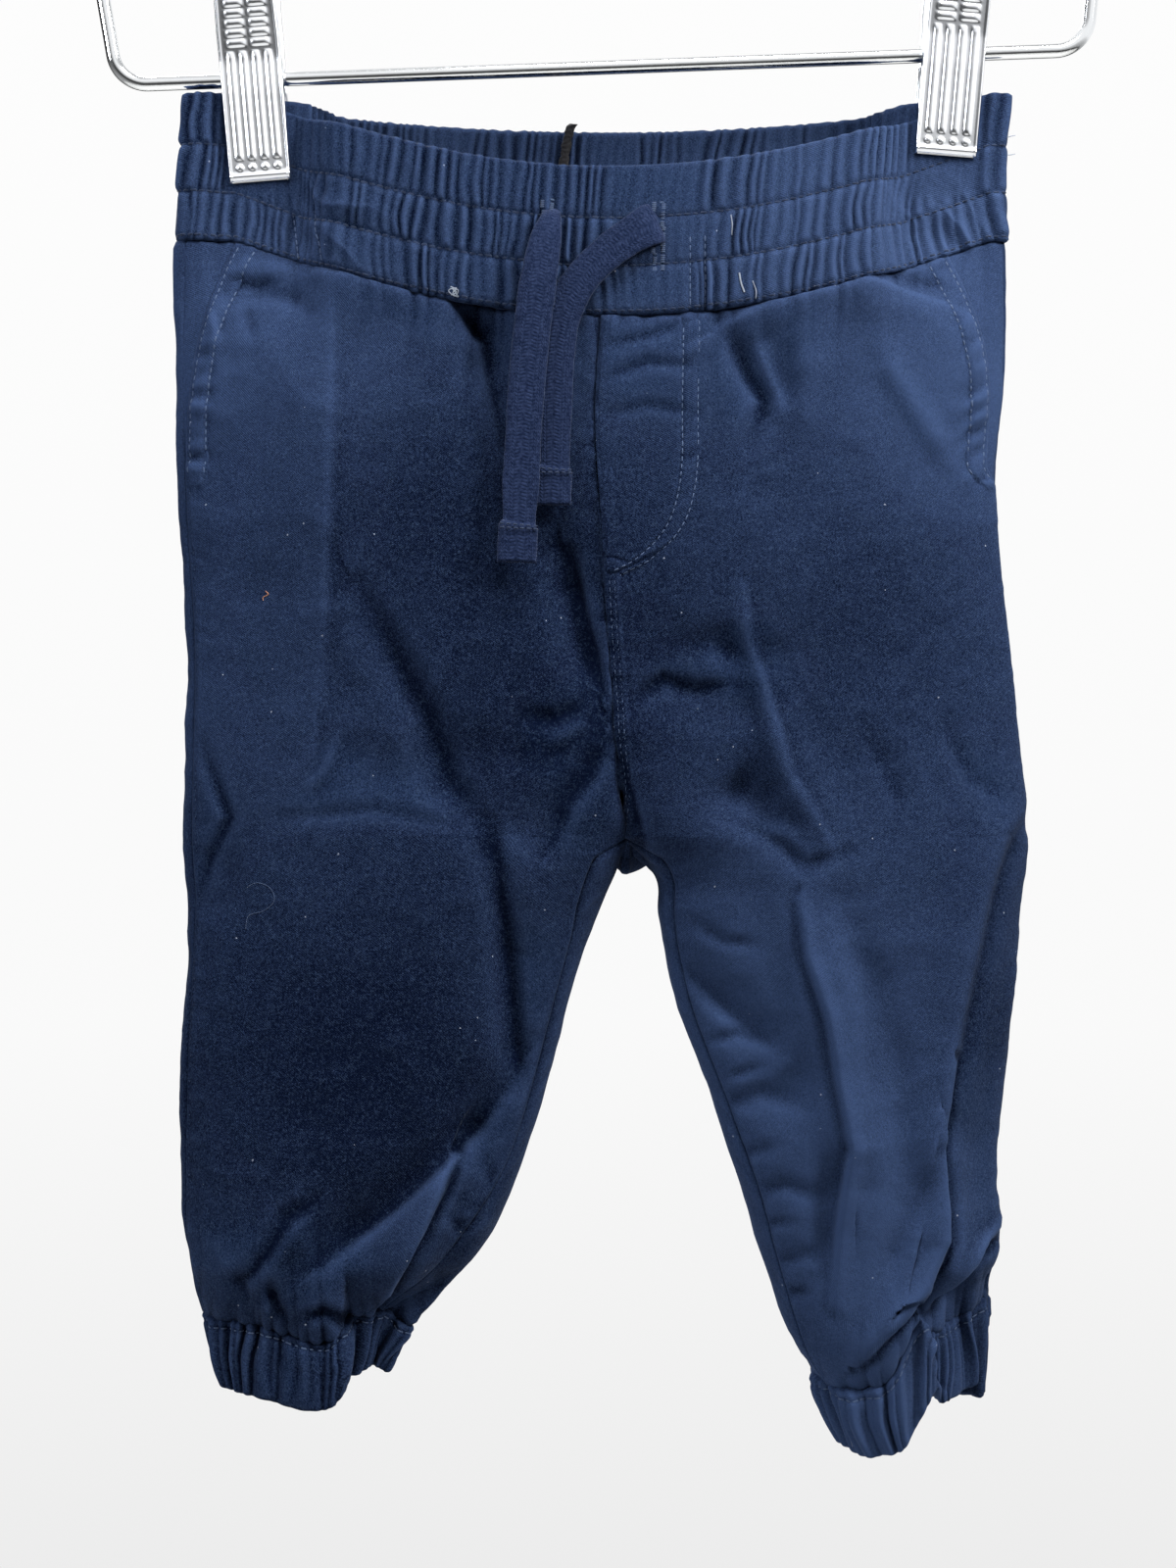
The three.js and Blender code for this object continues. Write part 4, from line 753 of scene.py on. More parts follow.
class Cloth:
    """Cloth on a grid of points: rows run down it, columns run round it."""

    def __init__(self, grid, turn, closed=False):
        self.grid, self.turn, self.closed = grid, turn, closed
        self.rows, self.columns = grid.shape[:2]
        self.normal = self.outward(grid)
        self.rise = np.zeros(grid.shape[:2])
        self.half = np.full(grid.shape[:2], WALL / 2)
        # Painted light and shade for the cloth's colour (the fade field).
        self.fade = painted_shading(grid)
        wide = np.concatenate([grid, grid[:, :1]], 1) if closed else grid
        across = np.linalg.norm(np.diff(wide, axis=1), axis=2)
        along = np.linalg.norm(np.diff(grid, axis=0), axis=2)
        self.width = across.sum(1)
        self.u = np.pad(np.cumsum(across, 1), ((0, 0), (1, 0)))[:, :self.columns]
        self.v = np.pad(np.cumsum(along, 0), ((1, 0), (0, 0)))

    def outward(self, grid):
        if self.closed:
            du = np.roll(grid, -1, 1) - np.roll(grid, 1, 1)
        else:
            du = np.gradient(grid, axis=1)
        return unit(np.cross(np.gradient(grid, axis=0), du)) * self.turn

    def edge_gap(self, sides):
        """The distance to the nearest of the named edges."""
        gaps = {
            "first": self.u,
            "last": self.width[:, None] - self.u,
            "top": self.v,
            "bottom": self.v[-1:] - self.v,
        }
        return np.minimum.reduce([gaps[side] for side in sides])

    def thicken(self, thick, radius, sides=ALL_SIDES, least=0.12):
        """Rounds the cloth off towards its edges."""
        k = np.clip(self.edge_gap(sides) / radius, 0, 1)
        self.half = np.maximum(thick / 2 * np.sqrt(1 - (1 - k) ** 2), least)

    def face(self):
        return self.grid + self.normal * (self.rise + self.half)[..., None]

    def at(self, row, column, lift=0.0):
        """Points and outward directions on the finished outer face."""
        outer = self.face()
        normal = self.outward(outer)
        row = np.clip(row, 0, self.rows - 1.001)
        if self.closed:
            column = column % self.columns
        else:
            column = np.clip(column, 0, self.columns - 1.001)
        r, c = np.floor(row).astype(int), np.floor(column).astype(int)
        fr, fc = (row - r)[:, None], (column - c)[:, None]
        d = (c + 1) % self.columns
        blend = lambda field: mix(mix(field[r, c], field[r, d], fc),
                                  mix(field[r + 1, c], field[r + 1, d], fc), fr)
        direction = unit(blend(normal))
        return blend(outer) + direction * lift, direction

    def shell(self, step, plain_inside=False):
        """Points, triangles and corner places of the fine face, a coarser one and the rim."""
        outer = self.face()
        low = lowest_near(self.rise, step, self.closed) if step > 1 else self.rise
        if plain_inside:
            low = 0
        inner = (self.grid + self.normal * (low - self.half)[..., None])[::step, ::step]

        def numbers(grid, start):
            """The numbers of a face's points. Those of a closed one meet its start again."""
            ids = start + np.arange(grid[..., 0].size).reshape(grid.shape[:2])
            return np.concatenate([ids, ids[:, :1]], 1) if self.closed else ids

        def corners(fine, coarse):
            """What the two faces' grids hold at the corners of each triangle."""
            tris = [grid_tris(fine), grid_tris(coarse)[:, ::-1],
                    fringe(fine[0], coarse[0], step),
                    fringe(fine[-1], coarse[-1], step)[:, ::-1]]
            if not self.closed:
                tris += [fringe(fine[:, 0], coarse[:, 0], step)[:, ::-1],
                         fringe(fine[:, -1], coarse[:, -1], step)]
            tris = np.concatenate(tris)
            return tris[:, ::-1] if self.turn < 0 else tris

        middle = self.rows // 2
        u = np.append(self.u[middle], self.width[middle])[:self.columns + self.closed]
        places = np.meshgrid(u, self.v[:, self.columns // 2])
        uv = np.stack([corners(axis, axis[::step, ::step]) for axis in places], -1)
        points = np.concatenate([outer.reshape(-1, 3), inner.reshape(-1, 3)])
        return points, corners(numbers(outer, 0), numbers(inner, outer[..., 0].size)), uv

    def build(self, name, node, material, slot, step):
        # Shades for the colour: painted light on crests and painted shade in hollows, weaker and
        # reversed inside, and the patches of painted light and shade.
        crest = self.rise - blurred(self.rise, 14, self.closed)
        on_both = lambda field, inside: np.concatenate(
            [field.ravel(), field[::step, ::step].ravel() * inside])
        shades = {"crest": on_both(crest, -0.6), "fade": on_both(self.fade, 1)}
        points, tris, uv = self.shell(step)
        return make_mesh(name, points, tris, material, slot, node, uv, shades)


# ---------------------------------------------------------------- materials



class Nodes:
    """A material's or the world's nodes, made and joined by short calls."""

    def __init__(self, owner):
        owner.use_nodes = True
        self.owner, self.tree = owner, owner.node_tree

    def add(self, kind, settings=None, **inputs):
        node = self.tree.nodes.new("ShaderNode" + kind)
        for key, value in (settings or {}).items():
            setattr(node, key, value)
        for key, value in inputs.items():
            self.put(node, key.replace("_", " "), value)
        return node

    def put(self, node, name, value):
        socket = node.inputs[name]
        if isinstance(value, bpy.types.NodeSocket):
            self.tree.links.new(value, socket)
        else:
            socket.default_value = value

    def set(self, **inputs):
        """Sets the shader's own sockets, and gives the material."""
        for key, value in inputs.items():
            self.put(self.tree.nodes["Principled BSDF"], key.replace("_", " "), value)
        return self.owner

    def place(self):
        return self.add("TexCoord").outputs["Object"]

    def noise(self, place, scale, detail=2.0, **more):
        node = self.add("TexNoise", Vector=place, Scale=scale, Detail=detail, **more)
        return node.outputs["Fac"]

    def math(self, operation, *values, clamp=False):
        node = self.add("Math", {"operation": operation, "use_clamp": clamp})
        for socket, value in enumerate(values):
            self.put(node, socket, value)
        return node.outputs[0]

    def scaled(self, value, by, plus, clamp=False):
        return self.math("MULTIPLY_ADD", value, by, plus, clamp=clamp)

    def ramp(self, value, *stops):
        node = self.add("ValToRGB", Fac=value)
        elements = node.color_ramp.elements
        while len(elements) < len(stops):
            elements.new(0.5)
        for element, (at, level) in zip(elements, stops):
            element.position = at
            element.color = (level, level, level, 1)
        return node.outputs["Color"]

    def blend(self, share, a, b):
        node = self.add("Mix", {"data_type": "RGBA"})
        for socket, value in ((0, share), (6, a), (7, b)):
            self.put(node, socket, (*value, 1) if isinstance(value, tuple) else value)
        return node.outputs[2]

    def mixed(self, share, a, b):
        """One of two shaders, or some of both."""
        node = self.add("MixShader")
        for socket, value in enumerate((share, a, b)):
            self.put(node, socket, value)
        return node.outputs[0]

    def bumped(self, height, distance, strength, **more):
        node = self.add("Bump", Strength=strength, Distance=distance, Height=height, **more)
        return node.outputs["Normal"]


FIBRE_COLOUR = (0.050, 0.082, 0.150)
LINT_COLOUR = (0.22, 0.25, 0.32)
RIB_PITCH = 0.00045
RIB_SLANT = math.radians(58)


def cloth_material(name, dark, light, lint=1.0):
    """Brushed cotton twill: mottled dye with painted light and shade, fine slanting ribs, fuzz and
    specks of lint.
    """
    n = Nodes(bpy.data.materials.new(name))
    place = n.place()
    patch = n.noise(place, 14.0, 4.0, Roughness=0.55)
    grain = n.noise(place, 2000.0, 3.0, Roughness=0.75)
    fuzz = n.noise(place, 3200.0, 2.0, Roughness=0.8)
    uv = n.add("UVMap", {"uv_map": "cloth"}).outputs["UV"]
    slanted = n.add("Mapping", Vector=uv, Rotation=(0, 0, RIB_SLANT)).outputs["Vector"]
    ribs = n.add("TexWave", {"wave_type": "BANDS"}, Vector=slanted, Scale=0.314 / RIB_PITCH,
                 Distortion=1.2, Detail=2.0, Detail_Scale=2.0).outputs["Fac"]
    crest = n.add("Attribute", {"attribute_name": "crest"}).outputs["Fac"]
    fade = n.add("Attribute", {"attribute_name": "fade"}).outputs["Fac"]
    # The colour: mottled all over, with painted light and shade from the fade attribute, painted
    # light on crests and painted shade in hollows.
    mottle = n.math("ADD", n.scaled(patch, 0.3, -0.15), n.scaled(grain, 1.1, -0.55))
    mottle = n.math("ADD", mottle, n.scaled(fuzz, 1.2, -0.6))
    base = n.blend(n.math("ADD", n.scaled(crest, 0.75, fade), mottle, clamp=True), dark, light)
    # Fibres: thin curls in some places, and fuzz.
    curl = n.noise(place, 1250.0, 1.0, Distortion=1.6)
    thin = n.math("ABSOLUTE", n.math("SUBTRACT", curl, 0.5))
    apart = n.noise(place, 1000.0, 1.0)
    fibres = n.math("MULTIPLY", n.scaled(thin, -20.0, 1.0, clamp=True),
                    n.ramp(apart, (0.48, 0.0), (0.6, 1.0)))
    fibres = n.scaled(n.ramp(fuzz, (0.56, 0.0), (0.72, 1.0)), 0.5, fibres, clamp=True)
    base = n.blend(n.math("MULTIPLY", fibres, 0.32), base, FIBRE_COLOUR)
    # Lint: a speck in some of the cells.
    specks = n.add("TexVoronoi", {"feature": "F1"}, Vector=place, Scale=230.0).outputs
    near = n.math("LESS_THAN", specks["Distance"], 0.055)
    chosen = n.add("SeparateColor", Color=specks["Color"]).outputs["Red"]
    some = n.math("MULTIPLY", near, n.math("GREATER_THAN", chosen, 1 - 0.20 * lint))
    base = n.blend(n.math("MULTIPLY", some, 0.75), base, LINT_COLOUR)
    height = n.math("ADD", n.math("MULTIPLY", ribs, 0.5), n.math("MULTIPLY", fuzz, 0.9))
    slub = n.noise(place, 480.0, 3.0, Roughness=0.6)
    normal = n.bumped(slub, 0.0004, 0.5, Normal=n.bumped(height, 0.00016, 0.75))
    return n.set(Base_Color=base, Roughness=n.scaled(grain, 0.12, 0.82),
                 Specular_IOR_Level=0.03, Sheen_Weight=0.06, Sheen_Roughness=0.35,
                 Sheen_Tint=(0.42, 0.55, 0.85, 1), Normal=normal)


def thread_material(name, dark, light):
    n = Nodes(bpy.data.materials.new(name))
    strand = n.noise(n.place(), 1800.0, 2.0)
    return n.set(Base_Color=n.blend(strand, dark, light), Roughness=0.7,
                 Specular_IOR_Level=0.1, Sheen_Weight=0.15, Sheen_Roughness=0.4,
                 Normal=n.bumped(strand, 0.0002, 0.6))


WALE = 0.00118
COURSE = 0.0009


def knit_material(name, dark, light):
    """Flat knitted tape: rows of small V stitches with a heathered yarn."""
    n = Nodes(bpy.data.materials.new(name))
    uv = n.add("UVMap", {"uv_map": "cloth"}).outputs["UV"]
    split = n.add("SeparateXYZ", Vector=uv).outputs
    across = n.math("FRACT", n.math("MULTIPLY", split["X"], 1 / WALE))
    rib = n.math("ABSOLUTE", n.math("SUBTRACT", across, 0.5))
    course = n.math("FRACT", n.math("ADD", n.math("MULTIPLY", split["Y"], 1 / COURSE),
                                    n.math("MULTIPLY", rib, 1.3)))
    loop = n.math("MULTIPLY", n.math("SINE", n.math("MULTIPLY", course, math.pi)),
                  n.math("SINE", n.math("MULTIPLY", rib, 2 * math.pi)))
    heather = n.noise(n.place(), 1100.0, 4.0, Roughness=0.8)
    base = n.blend(n.scaled(heather, 3.2, -1.2, clamp=True), dark, light)
    # The raised loops are painted a little lighter: a painted highlight on the stitches.
    base = n.blend(n.math("MULTIPLY", loop, 0.08, clamp=True), base,
                   tuple(c * 1.9 for c in light))
    height = n.math("ADD", loop, n.math("MULTIPLY", heather, 0.6))
    return n.set(Base_Color=base, Roughness=0.92, Specular_IOR_Level=0.03, Sheen_Weight=0.15,
                 Sheen_Roughness=0.4, Sheen_Tint=(0.5, 0.58, 0.8, 1),
                 Normal=n.bumped(height, 0.0002, 0.6))


def chrome_material(name, colour=(0.86, 0.88, 0.9), dull=0.0):
    """Bright plated steel with faint rubbed marks and fingerprints."""
    n = Nodes(bpy.data.materials.new(name))
    place = n.place()
    smear = n.noise(place, 60.0, 5.0, Roughness=0.6)
    pits = n.noise(place, 1400.0, 2.0)
    return n.set(Base_Color=(*colour, 1), Metallic=1.0,
                 Roughness=n.scaled(smear, 0.22, dull - 0.01, clamp=True),
                 Normal=n.bumped(pits, 0.00003, 0.3))


NAVY = cloth_material("navy_twill", (0.0004, 0.0022, 0.0110), (0.0262, 0.0460, 0.1080))
# A copy of the navy twill painted a little lighter for the waistband: painted light.
NAVY_BAND_PAINTED_LIGHTER = cloth_material("navy_twill_band", (0.0006, 0.0030, 0.0140),
                           (0.0305, 0.0525, 0.1190), 0.6)
TAPE = knit_material("navy_knit_tape", (0.0030, 0.0068, 0.0230), (0.0185, 0.0290, 0.0700))
OVERLOCK = thread_material("dark_overlock", (0.003, 0.003, 0.004), (0.014, 0.014, 0.017))
THREAD = thread_material("navy_thread", (0.020, 0.034, 0.076), (0.080, 0.116, 0.200))
DARK_THREAD = thread_material("dark_thread", (0.003, 0.007, 0.022), (0.022, 0.036, 0.075))
PALE_THREAD = thread_material("pale_thread", (0.15, 0.18, 0.24), (0.30, 0.34, 0.40))
RUST_THREAD = thread_material("rust_lint", (0.25, 0.10, 0.05), (0.40, 0.20, 0.12))
CHROME = chrome_material("chrome")
CLIP_CHROME = chrome_material("clip_chrome", (0.80, 0.82, 0.86), 0.13)

# ---------------------------------------------------------------- drawstring

TAPE_WIDTH = 9.4
TAPE_STEP = 0.45
TAPE_SIDES = 48
# The middle of each flat end: x, y, z, the tape's thickness and its share of full width.
DRAWSTRING = {
    "left": [
        (-7.2, -11.6, -189.5, 1.2, 0.4), (-7.6, -15.4, -192.5, 1.3, 0.55),
        (-9.0, -17.6, -199.0, 1.4, 0.86), (-11.0, -19.0, -211.0, 1.4, 1.0),
        (-13.0, -19.0, -228.0, 1.4, 1.0), (-14.2, -19.0, -243.0, 1.4, 0.97),
        (-15.0, -19.0, -258.0, 1.4, 1.0), (-15.6, -19.1, -270.4, 1.3, 0.93),
        (-15.8, -19.2, -271.2, 2.6, 1.08), (-16.2, -19.3, -280.4, 2.4, 1.08),
    ],
    "right": [
        (20.4, -11.4, -193.0, 1.2, 1.15), (17.6, -15.2, -194.4, 1.3, 1.12),
        (12.6, -16.1, -197.4, 1.4, 1.0), (6.6, -16.4, -201.8, 1.4, 0.95),
        (0.4, -16.6, -208.0, 1.4, 0.95), (-4.2, -16.7, -216.0, 1.4, 1.0),
        (-6.2, -16.7, -227.0, 1.4, 1.0), (-6.8, -16.7, -240.0, 1.4, 1.0),
        (-7.1, -16.7, -256.0, 1.3, 0.93), (-7.3, -16.8, -256.8, 2.5, 1.08),
        (-7.4, -16.8, -265.6, 2.2, 1.06),
    ],
}


def smooth_route(points, step):
    """Points a fixed step apart on a smooth curve through the given ones."""
    points = np.array(points, float)
    at = distances(points[:, :3])
    curve = follow(np.column_stack([at, points]))
    return curve(np.linspace(0, at[-1], int(at[-1] / step) + 1))


def tape_cloth(stations, seed):
    """A flat tape as a closed tube: columns run round it and rows along it."""
    route = smooth_route(stations, TAPE_STEP)
    middle, thick, share = route[:, :3], route[:, 3], route[:, 4]
    along = unit(np.gradient(middle, axis=0))
    across = unit(np.cross(np.array([0.0, 1.0, 0.0]), along))
    through = np.cross(along, across)
    turn = np.linspace(0, 2 * np.pi, TAPE_SIDES, endpoint=False)
    flat = np.sign(np.cos(turn)) * np.abs(np.cos(turn)) ** 0.55
    deep = np.sign(np.sin(turn)) * np.abs(np.sin(turn)) ** 0.8
    s = np.arange(len(route)) * TAPE_STEP
    waver = 1 + 0.03 * noise(s, s * 0, 7.0, seed) + 0.02 * noise(s, s * 0, 2.0, seed + 1)
    end = np.clip((len(route) * TAPE_STEP - s) / 0.9, 0.12, 1) ** 0.5
    wide = (TAPE_WIDTH / 2 * waver * share)[:, None] * flat
    curl = 0.4 * noise(s, s * 0, 16.0, seed + 2)[:, None] * flat ** 2
    bulge = (end * thick / 2)[:, None] * deep + curl
    grid = middle[:, None] + across[:, None] * wide[..., None] + through[:, None] * bulge[..., None]
    return Cloth(grid, -1, closed=True), middle


def build_drawstrings():
    made = {}
    for half, seed in (("left", 11), ("right", 31)):
        cloth, middle = tape_cloth(DRAWSTRING[half], seed)
        points, tris = capped(cloth.grid)
        u = np.arange(TAPE_SIDES) / TAPE_SIDES * 2 * TAPE_WIDTH
        v = np.arange(cloth.rows) * TAPE_STEP
        uv = np.stack(np.meshgrid(u, v), -1).reshape(-1, 2)
        uv = np.concatenate([uv, [[0, 0], [0, v[-1]]]])[tris]
        piece = make_mesh(f"drawstring_tape_{half}", points, tris, TAPE, "knit_tape",
                          f"drawstring_{half}", uv)
        made[half] = (cloth, piece, middle)
    return made


tapes = build_drawstrings()

# ---------------------------------------------------------------- stitches

STITCH = {"length": 1.75, "wide": 0.24, "high": 0.17, "pitch": 2.25}
stitches = {}


def stitch_shape():
    """One stitch along x, as rings of six points."""
    rings = [(-0.5, 0.25), (-0.34, 0.85), (0, 1), (0.34, 0.85), (0.5, 0.25)]
    turn = np.linspace(0, 2 * np.pi, 6, endpoint=False)
    points = [(at, size * math.cos(a), size * math.sin(a)) for at, size in rings for a in turn]
    ids = np.arange(len(points)).reshape(len(rings), 6)
    ids = np.concatenate([ids, ids[:, :1]], 1)
    last = ids[-1, 0]
    ends = [tri for k in range(1, 5) for tri in ((0, k + 1, k), (last, last + k, last + k + 1))]
    return np.array(points), np.concatenate([grid_tris(ids)[:, ::-1], ends])


STITCH_POINTS, STITCH_TRIS = stitch_shape()


def sew(group, places, normals, material=THREAD, pitch=STITCH["pitch"], size=1.0, seed=5):
    """Lays stitches along a line of places on the cloth."""
    rng = np.random.default_rng(seed)
    at = distances(places)
    goals = np.arange(pitch / 2, at[-1], pitch)
    spot = along_line(goals, at, places)
    along = unit(along_line(goals + 0.4, at, places) - along_line(goals - 0.4, at, places))
    out = unit(along_line(goals, at, normals))
    across = unit(np.cross(out, along) + along * rng.uniform(-0.08, 0.08, (len(goals), 1)))
    length = STITCH["length"] * pitch / STITCH["pitch"] * rng.uniform(0.88, 1.06, len(goals))
    axes = np.stack([along * length[:, None], across * STITCH["wide"] * size,
                     out * STITCH["high"] * size], 1)
    stitches.setdefault((group, material.name), []).extend(spot[:, None] + STITCH_POINTS @ axes)


def build_stitches():
    """Makes each group's stitches one piece, and gives the pieces by group."""
    made = {}
    for (group, material), parts in stitches.items():
        tris = np.concatenate([STITCH_TRIS + i * len(STITCH_POINTS) for i in range(len(parts))])
        kind = "" if material == THREAD.name else "_" + material.split("_")[0]
        piece = make_mesh(f"stitches_{group}{kind}", np.concatenate(parts), tris,
                          bpy.data.materials[material], "cotton_twill")
        made.setdefault(group, []).append(piece)
    return made


# ---------------------------------------------------------------- leg panels

PANEL_GRID = {"front": (352, 148), "back": (240, 176)}
# Gathers at the two ends of the legs: pitch, unevenness, seed, height, the level that is
# taken off, and how far they reach.
GATHERS = {
    "waist": ((5.2, 0.5, 401, 0.85, 0.5, 5.5), (14, 0.5, 402, 1.1, 0.5, 15)),
    "cuff": ((4.6, 0.45, 403, 1.6, 0.45, 6.5), (11, 0.5, 404, 1.5, 0.5, 17)),
}
SEAM_ROWS = (1.3, 2.6)
MOUTH_ROWS = (1.4, 5.9)


def panel_relief(cloth, half, face, down):
    """The cloth's creases, puckers and seams, as heights above its plain form."""
    x, z = cloth.grid[..., 0], cloth.grid[..., 2]
    seed = 40 + 7 * HALVES.index(half) + 19 * FACES.index(face)
    hills = lambda size, more: noise(x, z, size, seed + more)
    rise = 1.6 * folds_at(CREASES[face], x, z, 1.5) + 0.5 * hills(26, 1) + 0.2 * hills(9, 2)
    crumple = 1 - 2 * abs(noise(x + 0.3 * z, z * 0.8, 21, seed + 8))
    fine = 1 - 2 * abs(noise(x - 0.4 * z, z, 8.5, seed + 9))
    rise += 0.42 * crumple + 0.14 * fine + 0.05 * hills(3.0, 3)
    u = x + 3 * hills(22, 4)
    below_waist, above_cuff = cloth.v, cloth.v[-1:] - cloth.v
    for end, gap in (("waist", below_waist), ("cuff", above_cuff)):
        for pitch, uneven, own_seed, tall, level, reach in GATHERS[end]:
            rise += tall * (pleats(u, pitch, uneven, own_seed) - level) * np.exp(-gap / reach)
    rise -= 0.35 * np.exp(-below_waist / 0.8) + 0.8 * np.exp(-above_cuff / 1.2)
    side, centre = cloth.u, cloth.width[:, None] - cloth.u
    rise += 0.26 * noise(cloth.v, x * 0.15, 2.6, seed + 5) * np.exp(-centre / 5)
    rise += 0.22 * noise(cloth.v, x * 0.15, 2.2, seed + 12) * np.exp(-side / 5)
    in_body = (down <= CROTCH)[:, None]
    if half == "right":
        overlap = 0.35 * smooth(1 - (centre - 3.4) / 0.8)
        grooves = sum(0.32 * bump(centre - gap, 0.5) for gap in SEAM_ROWS)
        rise += np.where(in_body, overlap - grooves, 0)
    if face == "front":
        hem = 0.55 * smooth(1 - (side - 5.6) / 1.0) - 0.4 * bump(side - MOUTH_ROWS[0], 0.5)
        hem = hem - 0.45 * bump(side - MOUTH_ROWS[1], 0.6)
        hem = hem + 0.75 * noise(cloth.v + 0.3 * x, x * 0.2, 2.6, seed + 6) * bump(side - 3.4, 4.2)
        seam = -0.25 * bump(side - MOUTH_ROWS[0], 0.5)
        rise += np.where((down < POCKET_END + 0.01)[:, None], hem, seam)
    fade = smooth(side / 2.5) * np.where(in_body, 1, smooth(centre / 2.5))
    return rise * mix(1, fade, 0.85) * (1 - 0.85 * clip_pinch(x, z))


def build_panels():
    cloths = {}
    for face in FACES:
        for half in HALVES:
            grid, down = panel_grid(half, face, *PANEL_GRID[face])
            cloth = Cloth(hem_warp(grid, half), 1 if (half == "left") == (face == "front") else -1)
            cloth.down = down
            cloth.thicken(WALL, 0.4, least=0.2)
            cloth.rise = panel_relief(cloth, half, face, down)
            cloths[face, half] = cloth
    return cloths


def sew_edge(cloth, group, side, gaps, rows, pitch, size=1.0):
    """Rows of stitches a fixed distance in from a panel's first or last edge."""
    row = np.linspace(*rows, 300)
    width = np.interp(row, np.arange(cloth.rows), cloth.width)
    for gap in gaps:
        inward = gap / width * (cloth.columns - 1)
        column = inward if side == "first" else cloth.columns - 1 - inward
        places, normals = cloth.at(row, column, -0.12)
        sew(group, places, normals, pitch=pitch, size=size, seed=int(gap * 10) + 3)


def sew_panels(cloths):
    def row_at(cloth, down):
        return float(np.interp(down, cloth.down, np.arange(cloth.rows)))

    for half in HALVES:
        front, back, group = cloths["front", half], cloths["back", half], f"front_{half}"
        pocket = row_at(front, POCKET_END)
        sew_edge(front, group, "first", MOUTH_ROWS, (1, pocket), 2.0, 1.3)
        sew_edge(front, group, "first", MOUTH_ROWS[:1], (pocket + 4, front.rows - 3), 2.2, 0.8)
        if half == "right":
            seam = row_at(front, FLY_END), row_at(front, CROTCH) - 1
            sew_edge(front, group, "last", SEAM_ROWS, seam, 1.9, 0.85)
            sew_edge(back, "back_right", "last", SEAM_ROWS, (1, row_at(back, CROTCH) - 1), 1.9)


# ---------------------------------------------------------------- waistband

BAND_COLUMNS = 456
BAND_ROWS = {"front": 76, "back": 52}
CHANNELS = (0.0, 0.355, 0.672, 1.0)
CHANNEL_EDGE = 0.044
LAST_ROW = 0.972
# Seams across the front band: x where z is SEAM_LEVEL, depth, where the stitches start
# between the band's top and foot, and how far the seam leans.
BAND_SEAMS = ((-67.5, 0.5, 0.5, 0.16), (-74.5, 0.3, 0.66, 0.16), (27.8, 0.4, 0.5, 0.0),
              (31.6, 0.4, 0.5, 0.0))
SEAM_LEVEL = -190
# The band is rumpled beside each clip: x, z, reach.
RUMPLED = ((-62, -190, 15), (92, -196, 14))


def band_point(half, face, around, v):
    """Places on the band: round it from its side, and down it from 0 to 1."""
    seam = CENTRE[face](0.0)
    across = 1 - np.cos(around * np.pi / 2)
    x = mix(np.interp(v, [0, 0.5, 1], BAND_OUTER[half]), seam[0], across)
    y = seam[1] * oval(across) * mix(BAND_DEPTH[face], 1, v)
    z = WAIST_TOP - waist_dip(face, x) - v * BAND_HEIGHT
    return np.stack([x, pinch_depth(x, y, z), z], -1)


def band_grid(face):
    v = np.linspace(0, 1, BAND_ROWS[face] + 1)[:, None]
    around = np.linspace(0, 1, SAMPLES)[None, :]
    left = band_point("left", face, around, v)
    right = band_point("right", face, around[:, ::-1], v)
    return spread(np.concatenate([left, right[:, 1:]], 1), BAND_COLUMNS)


